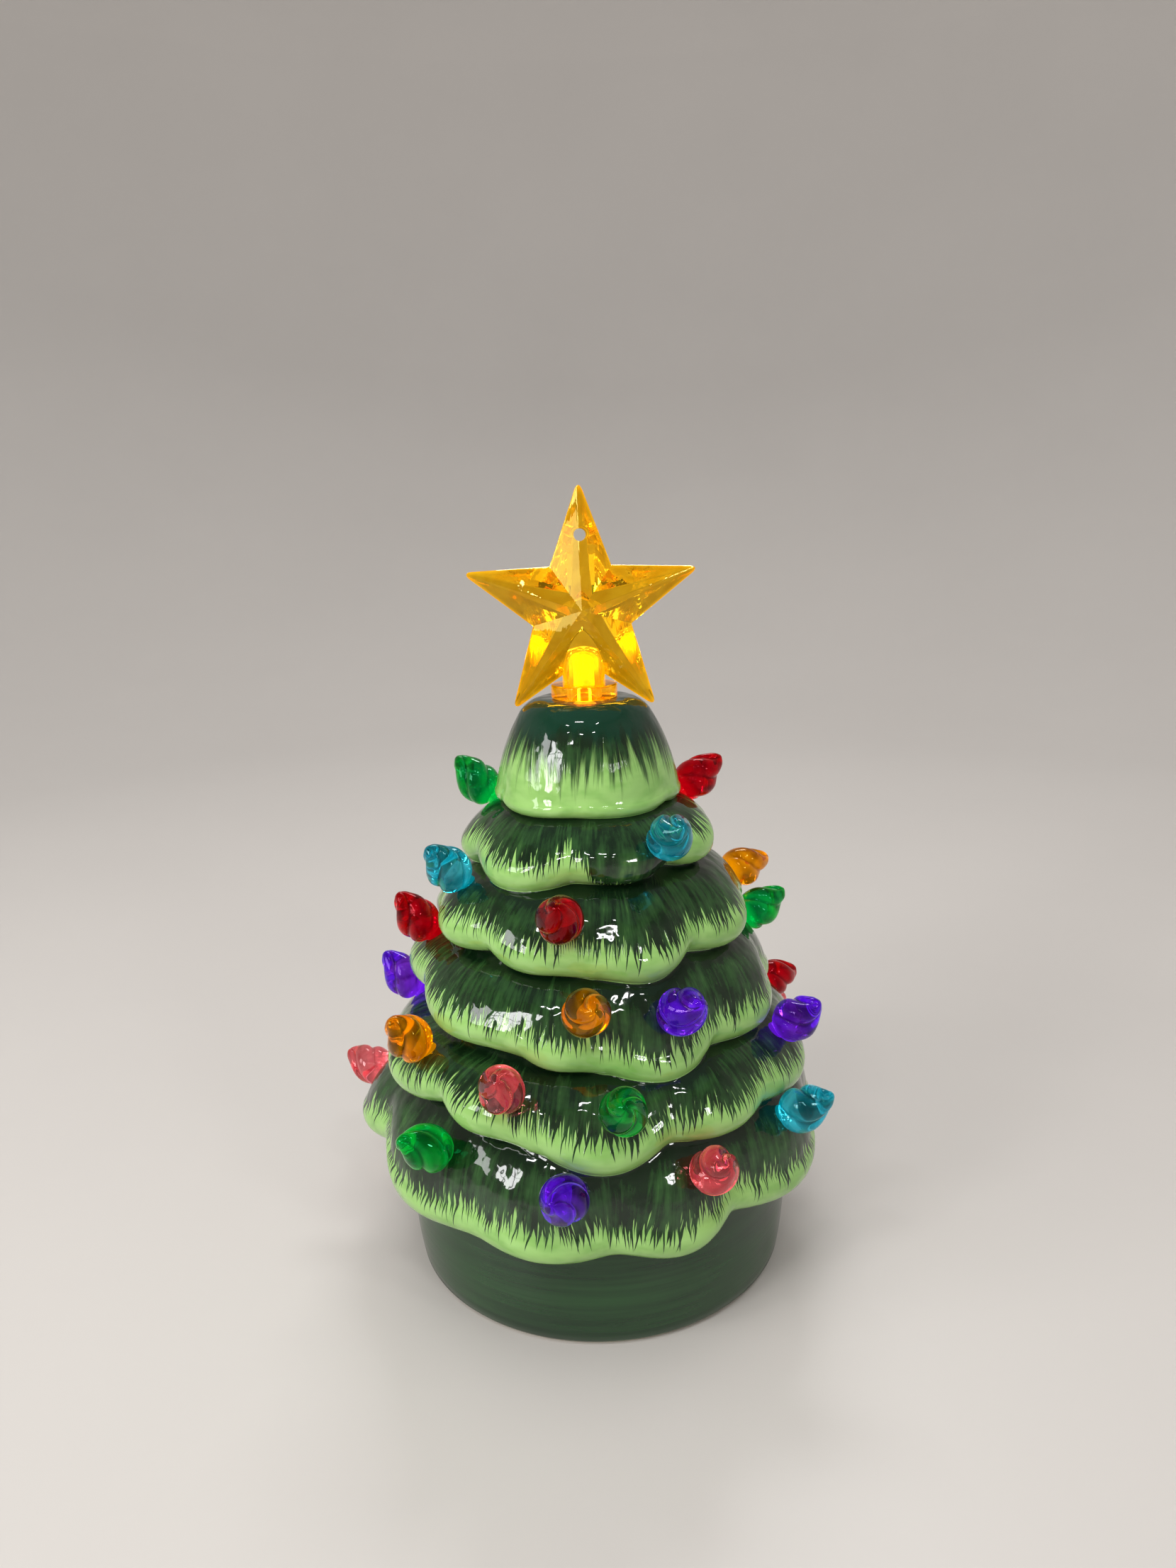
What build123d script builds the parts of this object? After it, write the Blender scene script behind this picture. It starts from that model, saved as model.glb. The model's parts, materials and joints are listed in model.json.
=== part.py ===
from build123d import *
import os
from math import cos, hypot, pi, radians, sin, sqrt, tan

# Battery-lit ceramic Christmas tree: a glazed tree in six scalloped tiers, twisted plastic bulbs
# glued into its holes, a star that plugs on at the top, and a battery unit snapped into its foot.
# Millimetres. The origin is the centre of the foot on the surface it stands on, +Z is up and the
# front of the tree looks along -Y. Angles round the tree are in degrees from +X.

# Sizes that many pieces share
overrun = 2.0               # how far a cutting shape reaches past what it cuts
running_gap = 0.05          # radial gap of a piece that turns in its bore
sliding_gap = 0.15          # gap between pieces that slide on each other
seat_gap = 0.1              # gap round a piece that is pressed or glued in

# Ceramic tree: collar and top
foot_round = 1.2
foot_ring_width = 4.4       # from the recess under the foot to the outside
collar_belly = 1.2          # the collar is this much wider than its foot
collar_belly_height = 12.0
collar_height = 33.0
top_height = 133.0
top_flat_radius = 10.3
top_edge_radius = 14.4
top_edge_drop = 2.6

# Ceramic tree: the rounded lip, its lobes and how each tier tucks under the one above
nose_radius = 4.6           # a full lip is a half round of this radius
nose_degrees = [40, 15, -15, -50, -90]   # from where the shoulder runs into that half round
neck_rise = 1.0             # the shoulder starts this far above the lip over it
cap_inset = 14.0            # hidden upper end of a tier, inside the tier above
cap_rise = 12.0
under_inset = 8.0           # underside of the lip
under_rise = 1.0
plug_inset = 16.0           # hidden lower end of a tier, inside the tier below
plug_rise = 7.0
scallop_depth = 3.4         # a full valley draws the lip in by this much
scallop_rise = 2.8          # and lifts it by this much
lobe_droop = 4.0            # a full droop lowers a lobe by this much
lobe_reach = 3.4            # a full reach pushes a lobe out by this much
valley_softness_share = 0.03
section_points = 60         # points round each section of a tier

# Ceramic tree: hollow inside and floor with the hole for the battery unit
cavity_inset = 11.6         # cavity wall behind each lip
collar_wall = 6.0
cavity_top_radius = 6.5
top_thickness = 10.0
recess_height = 5.6         # of the recess under the foot
floor_thickness = 4.0
ledge_width = 5.6           # of the floor, round its hole

# Bulbs
bulb_radius = 4.75
bulb_length = 12.4
bulb_peg_radius = 2.0
bulb_peg_length = 8.0
bulb_lift = 1.0             # glue under the bulb's rounded back
bulb_level_share = 0.35     # how far bulbs lean from square to the glaze towards level
bulb_hole_length = 22.0
bulb_flutes = 3
bulb_twist_degrees = 200
bulb_tip_lean = 1.9
bulb_turn_degrees = 90      # about its own axis, so that its tip leans uphill
bulb_sway_degrees = 60      # how far bulbs were turned from that when they were glued in
bulb_points = 24            # points round each section of a bulb
seat_step_degrees = 3       # the glaze's slope is taken over this much to each side
seat_step_share = 0.05
bulb_height_shares = [0, 0.06, 0.18, 0.34, 0.52, 0.68, 0.82, 0.93, 1]
bulb_radius_shares = [0.50, 0.74, 0.94, 1, 0.94, 0.74, 0.51, 0.33, 0.12]
bulb_flute_shares = [0, 0.02, 0.05, 0.07, 0.09, 0.11, 0.12, 0.10, 0]

# Star and the flanged stem that it plugs on
star_points = 5
star_radius = 27.5          # to the sharp tips, before they are rounded
star_waist_radius = 11.4
star_rise = 19.5            # its centre above the tree's top
star_ridge_depth = 6.5
star_rim_thickness = 1.4
star_tip_round = 0.9
star_hub_radius = 4.75
star_hub_length = 12.1
hang_hole_radius = 1.3
hang_hole_drop = 11.7       # below the star's sharp upper tip
stem_flange_radius = 7.4
stem_flange_thickness = 3.0
stem_peg_radius = 4.6
stem_peg_length = 12.0
stem_radius = 3.3
stem_length = 8.3           # above the flange, to the top of its dome
stem_wall = 0.7

# Light-emitting diodes and their leads
led_radius = 2.35
led_length = 8.0
led_pin_radius = 0.3
led_pin_spacing = 2.54
led_pin_length = 6.0
lead_radius = 0.6
lead_bend_radius = 2.0
star_lead_sway = 4.0        # slack of the star's leads on their way up
star_bend_share = 0.45      # share of each run that a bend of those leads takes

# Battery unit: housing
flange_gap = 2.0            # round the flange, in the recess under the foot
flange_thickness = 3.2
spigot_gap = 0.4
spigot_wall = 1.6
spigot_height = 5.6
lug_count = 4
lug_width = 8.0
lug_reach = 1.2
lug_gap = 0.1
bay_wall = 1.5
bay_roof = 1.6
bay_clearance = 2.234       # from the bay's corners to the hole in the floor
boss_radius = 2.4
boss_height = 3.0
boss_place = 9.5

# Battery unit: cells and contacts
cell_count = 3
cell_radius = 5.25
cell_length = 44.5          # with its nub
cell_nub_radius = 1.9
cell_nub_length = 0.8
cell_gap = 0.5              # round each cell
contact_thickness = 0.4
contact_height = 8.0
contact_gap = 0.05
tab_width = 2.5
tab_rise = 2.5              # solder tab above the bay's roof
spring_length = 3.6
spring_radius = 2.4
spring_wire_radius = 0.3
spring_pitch = 1.0

# Battery unit: door
door_thickness = 1.8
door_lap = 1.2              # how far the door covers the edge of the bay
door_gap = 0.3
hinge_pin_radius = 0.6
hinge_pin_length = 2.0
tongue_width = 10.0
tongue_length = 3.0
grip_count = 4
grip_spacing = 2.4
grip_width = 1.0
grip_depth = 0.4
grip_length = 16.0

# Battery unit: switch
switch_clearance = 5.45     # from the bay's wall to the switch
switch_case_length = 9.4
switch_case_width = 4.6
switch_case_height = 4.2
switch_wall = 0.7
switch_travel = 3.0
slider_length = 4.6
slider_thickness = 1.2
knob_length = 2.6
knob_width = 2.0
knob_clearance = 0.9        # lowest point of the knob above the table
switch_pin_spacing = 3.2

# Battery unit: lamp board
board_radius = 13.0
board_thickness = 1.6
lamp_count = 3
lamp_place = 8.5
screw_radius = 0.95
screw_grip = 3.6            # thread below the board
screw_head_radius = 1.8
screw_head_height = 1.3
screw_slot_width = 0.5
screw_slot_depth = 0.6
chip_length = 5.0
chip_width = 3.9
chip_height = 1.5
chip_place = 5.0
chip_leg_reach = 0.8
chip_leg_width = 0.45
chip_leg_count = 4
chip_leg_pitch = 1.25
resistor_length = 3.2
resistor_width = 1.6
resistor_height = 0.6
resistor_place = 3.4
lead_pad_place = 9.5
lead_pad_degrees = 50       # of the battery leads, to each side of the board's back
lead_rise = 5.0             # of each lead above the lamp board

# Heights of the battery unit, from its flange up
flange_low = recess_height - flange_thickness
door_top = flange_low + door_thickness
cell_height = door_top + cell_gap + cell_radius
roof_low = cell_height + cell_radius + cell_gap
roof_top = roof_low + bay_roof
board_low = roof_top + boss_height
board_top = board_low + board_thickness

# Plan of the battery unit
cell_pitch = 2 * cell_radius + cell_gap
bay_half_length = (cell_length + spring_length) / 2 + contact_thickness + contact_gap
bay_half_width = cell_count * cell_pitch / 2 + cell_gap / 2
door_half_length = bay_half_length + door_lap
door_half_width = bay_half_width + door_lap
hinge_radius = door_thickness / 2
hinge_place = door_half_width - hinge_radius
hinge_height = flange_low + hinge_radius
tab_place = bay_half_length - contact_gap - contact_thickness / 2
end_cell_place = cell_pitch * (cell_count - 1) / 2
switch_place = bay_half_width + bay_wall + switch_clearance + switch_case_width / 2

# Foot and collar of the tree, from the battery unit outwards, and its top
floor_hole_radius = hypot(bay_half_length + bay_wall, bay_half_width + bay_wall) + bay_clearance
spigot_radius = floor_hole_radius - spigot_gap
recess_radius = floor_hole_radius + ledge_width
flange_radius = recess_radius - flange_gap
foot_radius = recess_radius + foot_ring_width
collar_radius = foot_radius + collar_belly
cavity_radius = collar_radius - collar_wall
cavity_top_height = top_height - top_thickness
star_centre_height = top_height + star_rise

# Tiers from the top down: lip radius as a share of the collar's radius, lip height as a share of
# the top's height, bulge of the shoulder, round of the lip as a share of a full one, valley angles
# in degrees, depth share of each valley, and droop and reach share of each lobe, which lies between
# its valley and the next
tier_shares = [
    dict(radius_share=0.4735, height_share=0.8256, bulge_share=0.05, nose_share=0.4, scallop_share=0.26,
         valley_degrees=[-160, -97, -30, 45, 120],
         valley_shares=[1, 0.5, 1, 1, 1],
         droop_shares=[0, 0, 0, 0, 0],
         reach_shares=[0, 0, 0, 0, 0]),
    dict(radius_share=0.6549, height_share=0.7218, bulge_share=0.1, nose_share=1, scallop_share=0.8,
         valley_degrees=[-158, -98, -50, 0, 50, 100, 150],
         valley_shares=[1, 0.7, 0.8, 1, 1, 1, 1],
         droop_shares=[0.45, -0.25, -0.3, 0, 0.2, 0, 0.2],
         reach_shares=[0, 0, 0, 0, 0, 0, 0]),
    dict(radius_share=0.8274, height_share=0.5955, bulge_share=0.1, nose_share=1, scallop_share=0.85,
         valley_degrees=[-168, -130, -90, -52, -4, 40, 84, 134],
         valley_shares=[1, 0.7, 0.2, 1, 1, 1, 1, 1],
         droop_shares=[-0.6, -0.25, 0.35, -0.15, 0, 0.2, 0, 0.15],
         reach_shares=[0, 0, 0, 0, 0, 0, 0, 0]),
    dict(radius_share=0.9602, height_share=0.4579, bulge_share=0.1, nose_share=1, scallop_share=0.9,
         valley_degrees=[-160, -112, -87, -51, -6, 30, 70, 112, 152],
         valley_shares=[1, 0.3, 0.4, 0.9, 1, 1, 1, 1, 1],
         droop_shares=[-0.9, -0.3, 0.8, 0, 0.2, 0.5, 0, 0.2, -1.6],
         reach_shares=[0, 0, 0, 0, 0, 0, 0, 0, 0]),
    dict(radius_share=1.1106, height_share=0.3474, bulge_share=0.1, nose_share=1, scallop_share=0.95,
         valley_degrees=[-174, -134, -106, -71, -41, 0, 34, 72, 108, 150],
         valley_shares=[1, 0.8, 0.3, 0.8, 0.6, 1, 1, 1, 1, 1],
         droop_shares=[-0.8, -0.7, 0.8, -0.1, 0.2, 0.2, 0, 0.3, 0, 0.2],
         reach_shares=[0, 0, 0, 0, 0, 0, 0, 0, 0, 0]),
    dict(radius_share=1.1947, height_share=0.1955, bulge_share=0.1, nose_share=1, scallop_share=1,
         valley_degrees=[-163, -120, -87, -56, -6, 26, 58, 92, 128, 160],
         valley_shares=[1.3, 0.4, 0.5, 1, 1, 1, 1, 1, 1, 1],
         droop_shares=[0, 0.25, 0.3, 0, 0, 0.1, 0, 0.25, 0, -0.6],
         reach_shares=[0, 0, 0, 0, 0, 0, 0, 0, 0, 1]),
]


def lip_size(tier):
    # radius and height of a tier's lip before its lobes
    return collar_radius * tier["radius_share"], top_height * tier["height_share"]


def lobe_terms(tier, angle):
    # valley, droop and reach of a tier's lip at an angle, as shares
    valleys = tier["valley_degrees"]
    count = len(valleys)
    turned = (angle - valleys[0]) % 360
    index = max(i for i in range(count) if valleys[i] - valleys[0] <= turned)
    after = (index + 1) % count
    start = valleys[index] - valleys[0]
    end = valleys[after] - valleys[0] if after else 360
    along = (turned - start) / (end - start)
    floor_share = sqrt(valley_softness_share)
    crest = sqrt(sin(pi * along) ** 2 + valley_softness_share) - floor_share
    crest = crest / (sqrt(1 + valley_softness_share) - floor_share)
    depths = tier["valley_shares"]
    valley = (depths[index] * (1 - along) + depths[after] * along) * (1 - crest)

    def carried(shares):
        # a lobe's own share on its crest, the mean of two neighbours in the valley between them
        left = (shares[index - 1] + shares[index]) / 2
        right = (shares[index] + shares[after]) / 2
        return shares[index] * crest + (left * (1 - along) + right * along) * (1 - crest)

    return valley * tier["scallop_share"], carried(tier["droop_shares"]), carried(tier["reach_shares"])


def lip(tier, angle):
    # radius and height of the lip's lowest, outermost corner at an angle
    valley, droop, reach = lobe_terms(tier, angle)
    plain_radius, plain_height = lip_size(tier)
    radius = plain_radius - scallop_depth * valley + lobe_reach * reach
    height = plain_height + scallop_rise * valley - lobe_droop * droop
    return radius, height


def skirt_rows(number, angle):
    # profile of one tier at an angle, from its hidden cap over shoulder and lip to its hidden plug
    tier = tier_shares[number]
    lip_radius, lip_height = lip(tier, angle)
    plain_radius, plain_height = lip_size(tier)
    nose_size = nose_radius * tier["nose_share"]
    centre = (lip_radius - nose_size, lip_height + nose_size)
    if number == 0:
        cap = (top_flat_radius, top_height)
        neck = (top_edge_radius, top_height - top_edge_drop)
    else:
        above_radius, above_height = lip_size(tier_shares[number - 1])
        cap = (above_radius - cap_inset, above_height + cap_rise)
        neck = (above_radius - nose_radius, above_height + neck_rise)

    def nose(turn):
        return (centre[0] + nose_size * cos(radians(turn)), centre[1] + nose_size * sin(radians(turn)))

    brow = nose(nose_degrees[0])
    run, fall = brow[0] - neck[0], brow[1] - neck[1]

    def shoulder(share):
        bulge = tier["bulge_share"] * 4 * share * (1 - share)
        return (neck[0] + run * share - fall * bulge, neck[1] + fall * share + run * bulge)

    underside = (lip_radius - under_inset, lip_height + under_rise)
    plug = (plain_radius - plug_inset, plain_height + plug_rise)
    turns = [nose(turn) for turn in nose_degrees]
    return [cap, neck, shoulder(1 / 2), *turns, underside, plug]


def round_points(profile, row):
    # one section of a tier as points round the tree
    points = []
    for step in range(section_points):
        angle = 360 * step / section_points
        radius, height = profile(angle)[row]
        points.append((radius * cos(radians(angle)), radius * sin(radians(angle)), height))
    return points


def closed_section(points):
    # smooth closed wire whose points keep the same place along every section of a loft
    return Wire(Edge.make_spline(points, periodic=True, parameters=list(range(len(points) + 1))))


def skirt(number):
    def profile(angle):
        return skirt_rows(number, angle)
    rows = len(profile(0))
    return Solid.make_loft([closed_section(round_points(profile, row)) for row in range(rows)], ruled=True)


def turned_solid(points):
    # full turn about Z of an outline given as radius and height
    return revolve(make_face(Polyline(*[(r, 0, z) for r, z in points], close=True)), Axis.Z)


def upright(radius, low, high):
    # cylinder about Z between two heights
    return Pos(0, 0, low) * Cylinder(radius, high - low, align=(Align.CENTER, Align.CENTER, Align.MIN))


def block(low, high):
    # box between two corners
    size = [b - a for a, b in zip(low, high)]
    return Pos(*low) * Box(*size, align=(Align.MIN, Align.MIN, Align.MIN))


# Bulbs: tier counted from the top one as 0, angle in degrees, share of the way down its shoulder, colour
bulb_place_shares = [
    (1, -200, 0.26, "green"),
    (1, -59, 0.52, "teal"),
    (1, 27, 0.30, "red"),
    (1, 62, 0.42, "purple"),
    (1, 112, 0.42, "amber"),
    (2, -153, 0.21, "teal"),
    (2, -100, 0.33, "red"),
    (2, 26, 0.78, "amber"),
    (2, 70, 0.42, "green"),
    (2, 122, 0.42, "pink"),
    (3, -174, 0.19, "red"),
    (3, -93, 0.28, "amber"),
    (3, -67, 0.26, "purple"),
    (3, 19, 0.28, "green"),
    (3, 56, 0.40, "pink"),
    (3, 104, 0.40, "teal"),
    (4, -190, 0.16, "purple"),
    (4, -146, 0.25, "amber"),
    (4, -113, 0.30, "pink"),
    (4, -84, 0.28, "green"),
    (4, -23, 0.22, "purple"),
    (4, 28, 0.82, "red"),
    (4, 62, 0.40, "amber"),
    (4, 95, 0.40, "teal"),
    (4, 129, 0.40, "red"),
    (5, -194, 0.76, "pink"),
    (5, -131, 0.15, "green"),
    (5, -97, 0.23, "purple"),
    (5, -65, 0.19, "pink"),
    (5, -34, 0.14, "teal"),
    (5, 34, 0.30, "pink"),
    (5, 63, 0.30, "purple"),
    (5, 95, 0.30, "green"),
    (5, 127, 0.34, "amber"),
]


def skin_point(number, angle, slope_share):
    # point on a tier's shoulder, from its neck at 0 to the outermost turn of its lip at 1
    rows = skirt_rows(number, angle)[1:6]
    whole = min(int(slope_share * (len(rows) - 1)), len(rows) - 2)
    part = slope_share * (len(rows) - 1) - whole
    radius = rows[whole][0] * (1 - part) + rows[whole + 1][0] * part
    height = rows[whole][1] * (1 - part) + rows[whole + 1][1] * part
    return Vector(radius * cos(radians(angle)), radius * sin(radians(angle)), height)


def bulb_seat(number, angle, slope_share):
    # plane of a bulb's back, with its Z along the bulb
    skin = skin_point(number, angle, slope_share)
    round_step = skin_point(number, angle + seat_step_degrees, slope_share)
    round_step = round_step - skin_point(number, angle - seat_step_degrees, slope_share)
    down_step = skin_point(number, angle, slope_share + seat_step_share)
    down_step = down_step - skin_point(number, angle, slope_share - seat_step_share)
    square = down_step.cross(round_step).normalized()
    level = Vector(cos(radians(angle)), sin(radians(angle)), 0)
    axis = (square * (1 - bulb_level_share) + level * bulb_level_share).normalized()
    return Plane(origin=skin + axis * bulb_lift, x_dir=round_step, z_dir=axis)


bulb_seats = [bulb_seat(number, angle, share) for number, angle, share, colour in bulb_place_shares]


def bulb_solid():
    # fluted and twisted bulb that leans at its tip, on a round peg
    sections = []
    shares = zip(bulb_height_shares, bulb_radius_shares, bulb_flute_shares)
    for height_share, radius_share, flute_share in shares:
        points = []
        for step in range(bulb_points):
            angle = 2 * pi * step / bulb_points
            twist = radians(bulb_twist_degrees) * height_share
            radius = bulb_radius * radius_share * (1 + flute_share * cos(bulb_flutes * (angle - twist)))
            lean = bulb_tip_lean * height_share ** 2
            points.append((lean + radius * cos(angle), radius * sin(angle), bulb_length * height_share))
        sections.append(closed_section(points))
    return Solid.make_loft(sections) + upright(bulb_peg_radius, -bulb_peg_length, 0)


def ceramic_tree():
    collar_points = [
        (0, 0),
        (foot_radius - foot_round, 0),
        (foot_radius, foot_round),
        (collar_radius, collar_belly_height),
        (collar_radius, collar_height),
        (0, collar_height),
    ]
    tree = turned_solid(collar_points) + [skirt(number) for number in range(len(tier_shares))]
    floor_top = recess_height + floor_thickness
    collar_top = lip_size(tier_shares[-1])[1]
    cavity_points = [(0, floor_top), (cavity_radius, floor_top), (cavity_radius, collar_top)]
    for tier in reversed(tier_shares[:-1]):
        lip_radius, lip_height = lip_size(tier)
        cavity_points.append((lip_radius - cavity_inset, lip_height))
    cavity_points += [(cavity_top_radius, cavity_top_height), (0, cavity_top_height)]
    cutters = [turned_solid(cavity_points)]
    cutters.append(upright(recess_radius, -overrun, recess_height))
    cutters.append(upright(floor_hole_radius, 0, floor_top + overrun))
    stem_hole_radius = stem_peg_radius + running_gap
    cutters.append(upright(stem_hole_radius, cavity_top_height - overrun, top_height + overrun))
    for seat in bulb_seats:
        cutters.append(seat.location * upright(bulb_peg_radius + seat_gap, -bulb_hole_length, overrun))
    return tree - cutters


def star_topper():
    points = []
    for step in range(2 * star_points):
        reach = star_waist_radius if step % 2 else star_radius
        angle = radians(90 + 180 * step / star_points)
        points.append((reach * cos(angle), reach * sin(angle)))
    outline = make_face(Polyline(*points, close=True))
    tips = [v for v in outline.vertices() if hypot(v.X, v.Y) > star_waist_radius + star_tip_round]
    outline = fillet(tips, star_tip_round)
    half = star_rim_thickness / 2
    rim = extrude(outline, half, both=True)
    base = outline.faces()[0].outer_wire()
    apex = Vertex(0, 0, half + star_ridge_depth)
    ridges = Solid.make_loft([base.moved(Pos(0, 0, half)), apex], ruled=True)
    facing = Plane(origin=(0, 0, star_centre_height), x_dir=(1, 0, 0), z_dir=(0, -1, 0))
    star = facing.location * (rim + ridges + mirror(ridges, Plane.XY))
    flange_top = top_height + stem_flange_thickness
    star += upright(star_hub_radius, flange_top, flange_top + star_hub_length)
    bore_radius = stem_radius + sliding_gap
    dome_height = flange_top + stem_length - stem_radius
    star -= upright(bore_radius, flange_top - overrun, dome_height)
    star -= Pos(0, 0, dome_height) * Sphere(bore_radius)
    hole_height = star_centre_height + star_radius - hang_hole_drop
    star -= Pos(0, 0, hole_height) * Rot(90, 0, 0) * Cylinder(hang_hole_radius, star_radius)
    return star


def star_stem():
    flange_top = top_height + stem_flange_thickness
    dome_height = flange_top + stem_length - stem_radius
    stem = upright(stem_peg_radius, top_height - stem_peg_length, top_height)
    stem += upright(stem_flange_radius, top_height, flange_top)
    stem += upright(stem_radius, flange_top, dome_height)
    stem += Pos(0, 0, dome_height) * Sphere(stem_radius)
    bore_radius = stem_radius - stem_wall
    stem -= upright(bore_radius, top_height - stem_peg_length - overrun, dome_height)
    stem -= Pos(0, 0, dome_height) * Sphere(bore_radius)
    return stem


def led(base_height):
    # domed lamp on two pins, standing at the origin
    lamp = upright(led_radius, base_height, base_height + led_length - led_radius)
    return lamp + Pos(0, 0, base_height + led_length - led_radius) * Sphere(led_radius)


star_led_top = top_height + stem_flange_thickness + stem_length - stem_wall - sliding_gap
star_led_base = star_led_top - led_length
star_pin_low = star_led_base - led_pin_length


def star_led():
    lamp = led(star_led_base)
    for side in (-1, 1):
        lamp += Pos(side * led_pin_spacing / 2, 0, 0) * upright(led_pin_radius, star_pin_low, star_led_base)
    return lamp


def battery_housing():
    floor_top = recess_height + floor_thickness
    spigot_top = recess_height + spigot_height
    housing = upright(flange_radius, flange_low, recess_height)
    ring = upright(spigot_radius, recess_height, spigot_top)
    ring -= upright(spigot_radius - spigot_wall, recess_height - overrun, spigot_top + overrun)
    lug_low = (spigot_radius - spigot_wall / 2, -lug_width / 2, floor_top + lug_gap)
    lug_high = (floor_hole_radius + lug_reach, lug_width / 2, spigot_top)
    for step in range(lug_count):
        ring += Rot(0, 0, 360 * (step + 0.5) / lug_count) * block(lug_low, lug_high)
    housing += ring
    housing += block((-bay_half_length - bay_wall, -bay_half_width - bay_wall, recess_height),
                     (bay_half_length + bay_wall, bay_half_width + bay_wall, roof_top))
    for side in (-1, 1):
        boss = upright(boss_radius, roof_top, board_low)
        boss -= upright(screw_radius + running_gap, roof_top - bay_roof, board_low + overrun)
        housing += Pos(side * boss_place, 0, 0) * boss
        housing -= Pos(side * boss_place, 0, 0) * upright(screw_radius + running_gap, roof_low, roof_top)
    housing -= block((-bay_half_length, -bay_half_width, flange_low - overrun),
                     (bay_half_length, bay_half_width, roof_low))
    housing -= block((-door_half_length - door_gap, -door_half_width - door_gap, flange_low - overrun),
                     (door_half_length + door_gap, door_half_width + door_gap, door_top + seat_gap))
    tongue_half = tongue_width / 2 + door_gap
    housing -= block((-tongue_half, -door_half_width - tongue_length - door_gap, flange_low - overrun),
                     (tongue_half, 0, door_top + seat_gap))
    bore_half = door_half_length + hinge_pin_length + door_gap
    bore = Rot(0, 90, 0) * Cylinder(hinge_pin_radius + running_gap, 2 * bore_half)
    housing -= Pos(0, hinge_place, hinge_height) * bore
    slot_half = (knob_length + switch_travel) / 2 + sliding_gap
    slot_side = knob_width / 2 + sliding_gap
    housing -= block((-slot_half, -switch_place - slot_side, flange_low - overrun),
                     (slot_half, -switch_place + slot_side, recess_height + overrun))
    slit_half_length = contact_thickness / 2 + seat_gap
    slit_half_width = tab_width / 2 + seat_gap
    slit = block((-slit_half_length, -slit_half_width, roof_low - overrun),
                 (slit_half_length, slit_half_width, roof_top + overrun))
    for side in (-1, 1):
        housing -= Pos(side * tab_place, side * end_cell_place, 0) * slit
    return housing


def battery_door():
    door = block((-door_half_length, -door_half_width, flange_low),
                 (door_half_length, hinge_place, door_top))
    door += block((-tongue_width / 2, -door_half_width - tongue_length, flange_low),
                  (tongue_width / 2, -door_half_width, door_top))
    knuckle = Rot(0, 90, 0) * Cylinder(hinge_radius, 2 * door_half_length)
    pins = Rot(0, 90, 0) * Cylinder(hinge_pin_radius, 2 * (door_half_length + hinge_pin_length))
    door += Pos(0, hinge_place, hinge_height) * (knuckle + pins)
    for step in range(grip_count):
        place = -door_half_width + grip_spacing * (step + 1)
        door -= block((-grip_length / 2, place - grip_width / 2, flange_low - overrun),
                      (grip_length / 2, place + grip_width / 2, flange_low + grip_depth))
    return door


def cell_side(index):
    # +1 where a cell's nub points to +X; neighbours lie head to tail
    return 1 if index % 2 else -1


def cell_row(index):
    return cell_pitch * (index - (cell_count - 1) / 2)


def battery(index):
    side = cell_side(index)
    tip = bay_half_length - contact_thickness - 2 * contact_gap
    body_length = cell_length - cell_nub_length
    body = Rot(0, 90, 0) * Cylinder(cell_radius, body_length)
    nub = Rot(0, 90, 0) * Cylinder(cell_nub_radius, cell_nub_length)
    cell = Pos(side * (tip - cell_nub_length - body_length / 2), 0, 0) * body
    cell += Pos(side * (tip - cell_nub_length / 2), 0, 0) * nub
    return Pos(0, cell_row(index), cell_height) * cell


def contact_springs():
    # one coil behind each cell, from the contact plate to the cell's flat end
    coils = []
    reach = spring_length - 2 * spring_wire_radius - 2 * contact_gap
    for index in range(cell_count):
        side = -cell_side(index)
        start = bay_half_length - contact_thickness - 2 * contact_gap - spring_wire_radius
        path = Helix(spring_pitch, reach, spring_radius, center=(0, 0, 0))
        coil = sweep(Plane(origin=path @ 0, z_dir=path % 0) * Circle(spring_wire_radius), path=path)
        turn = Rot(0, -90 * side, 0)
        coils.append(Pos(side * start, cell_row(index), cell_height) * turn * coil)
    return Compound(coils)


def contact_plates():
    # an end plate with a solder tab at each end, and two bridges from cell to cell
    plates = []
    half = contact_height / 2
    for side in (-1, 1):
        face = (side * tab_place - contact_thickness / 2, side * tab_place + contact_thickness / 2)
        end_row = side * end_cell_place
        plate = block((face[0], end_row - half, cell_height - half),
                      (face[1], end_row + half, cell_height + half))
        plate += block((face[0], end_row - tab_width / 2, cell_height),
                       (face[1], end_row + tab_width / 2, roof_top + tab_rise))
        plates.append(plate)
        rows = sorted((0, -end_row))
        plates.append(block((face[0], rows[0] - half, cell_height - half),
                            (face[1], rows[1] + half, cell_height + half)))
    return Compound(plates)


def lamp_board():
    board = upright(board_radius, board_low, board_top)
    hole = upright(screw_radius + seat_gap, board_low - overrun, board_top + overrun)
    for side in (-1, 1):
        board -= Pos(side * boss_place, 0, 0) * hole
    return board


def board_screws():
    screws = []
    head_top = board_top + screw_head_height
    for side in (-1, 1):
        screw = upright(screw_radius, board_low - screw_grip, board_top)
        screw += upright(screw_head_radius, board_top, head_top)
        screw -= block((-screw_head_radius, -screw_slot_width / 2, head_top - screw_slot_depth),
                       (screw_head_radius, screw_slot_width / 2, head_top + overrun))
        screws.append(Pos(side * boss_place, 0, 0) * screw)
    return Compound(screws)


def tree_led(index):
    angle = radians(90 + 360 * index / lamp_count)
    return Pos(lamp_place * cos(angle), lamp_place * sin(angle), 0) * led(board_top)


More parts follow.
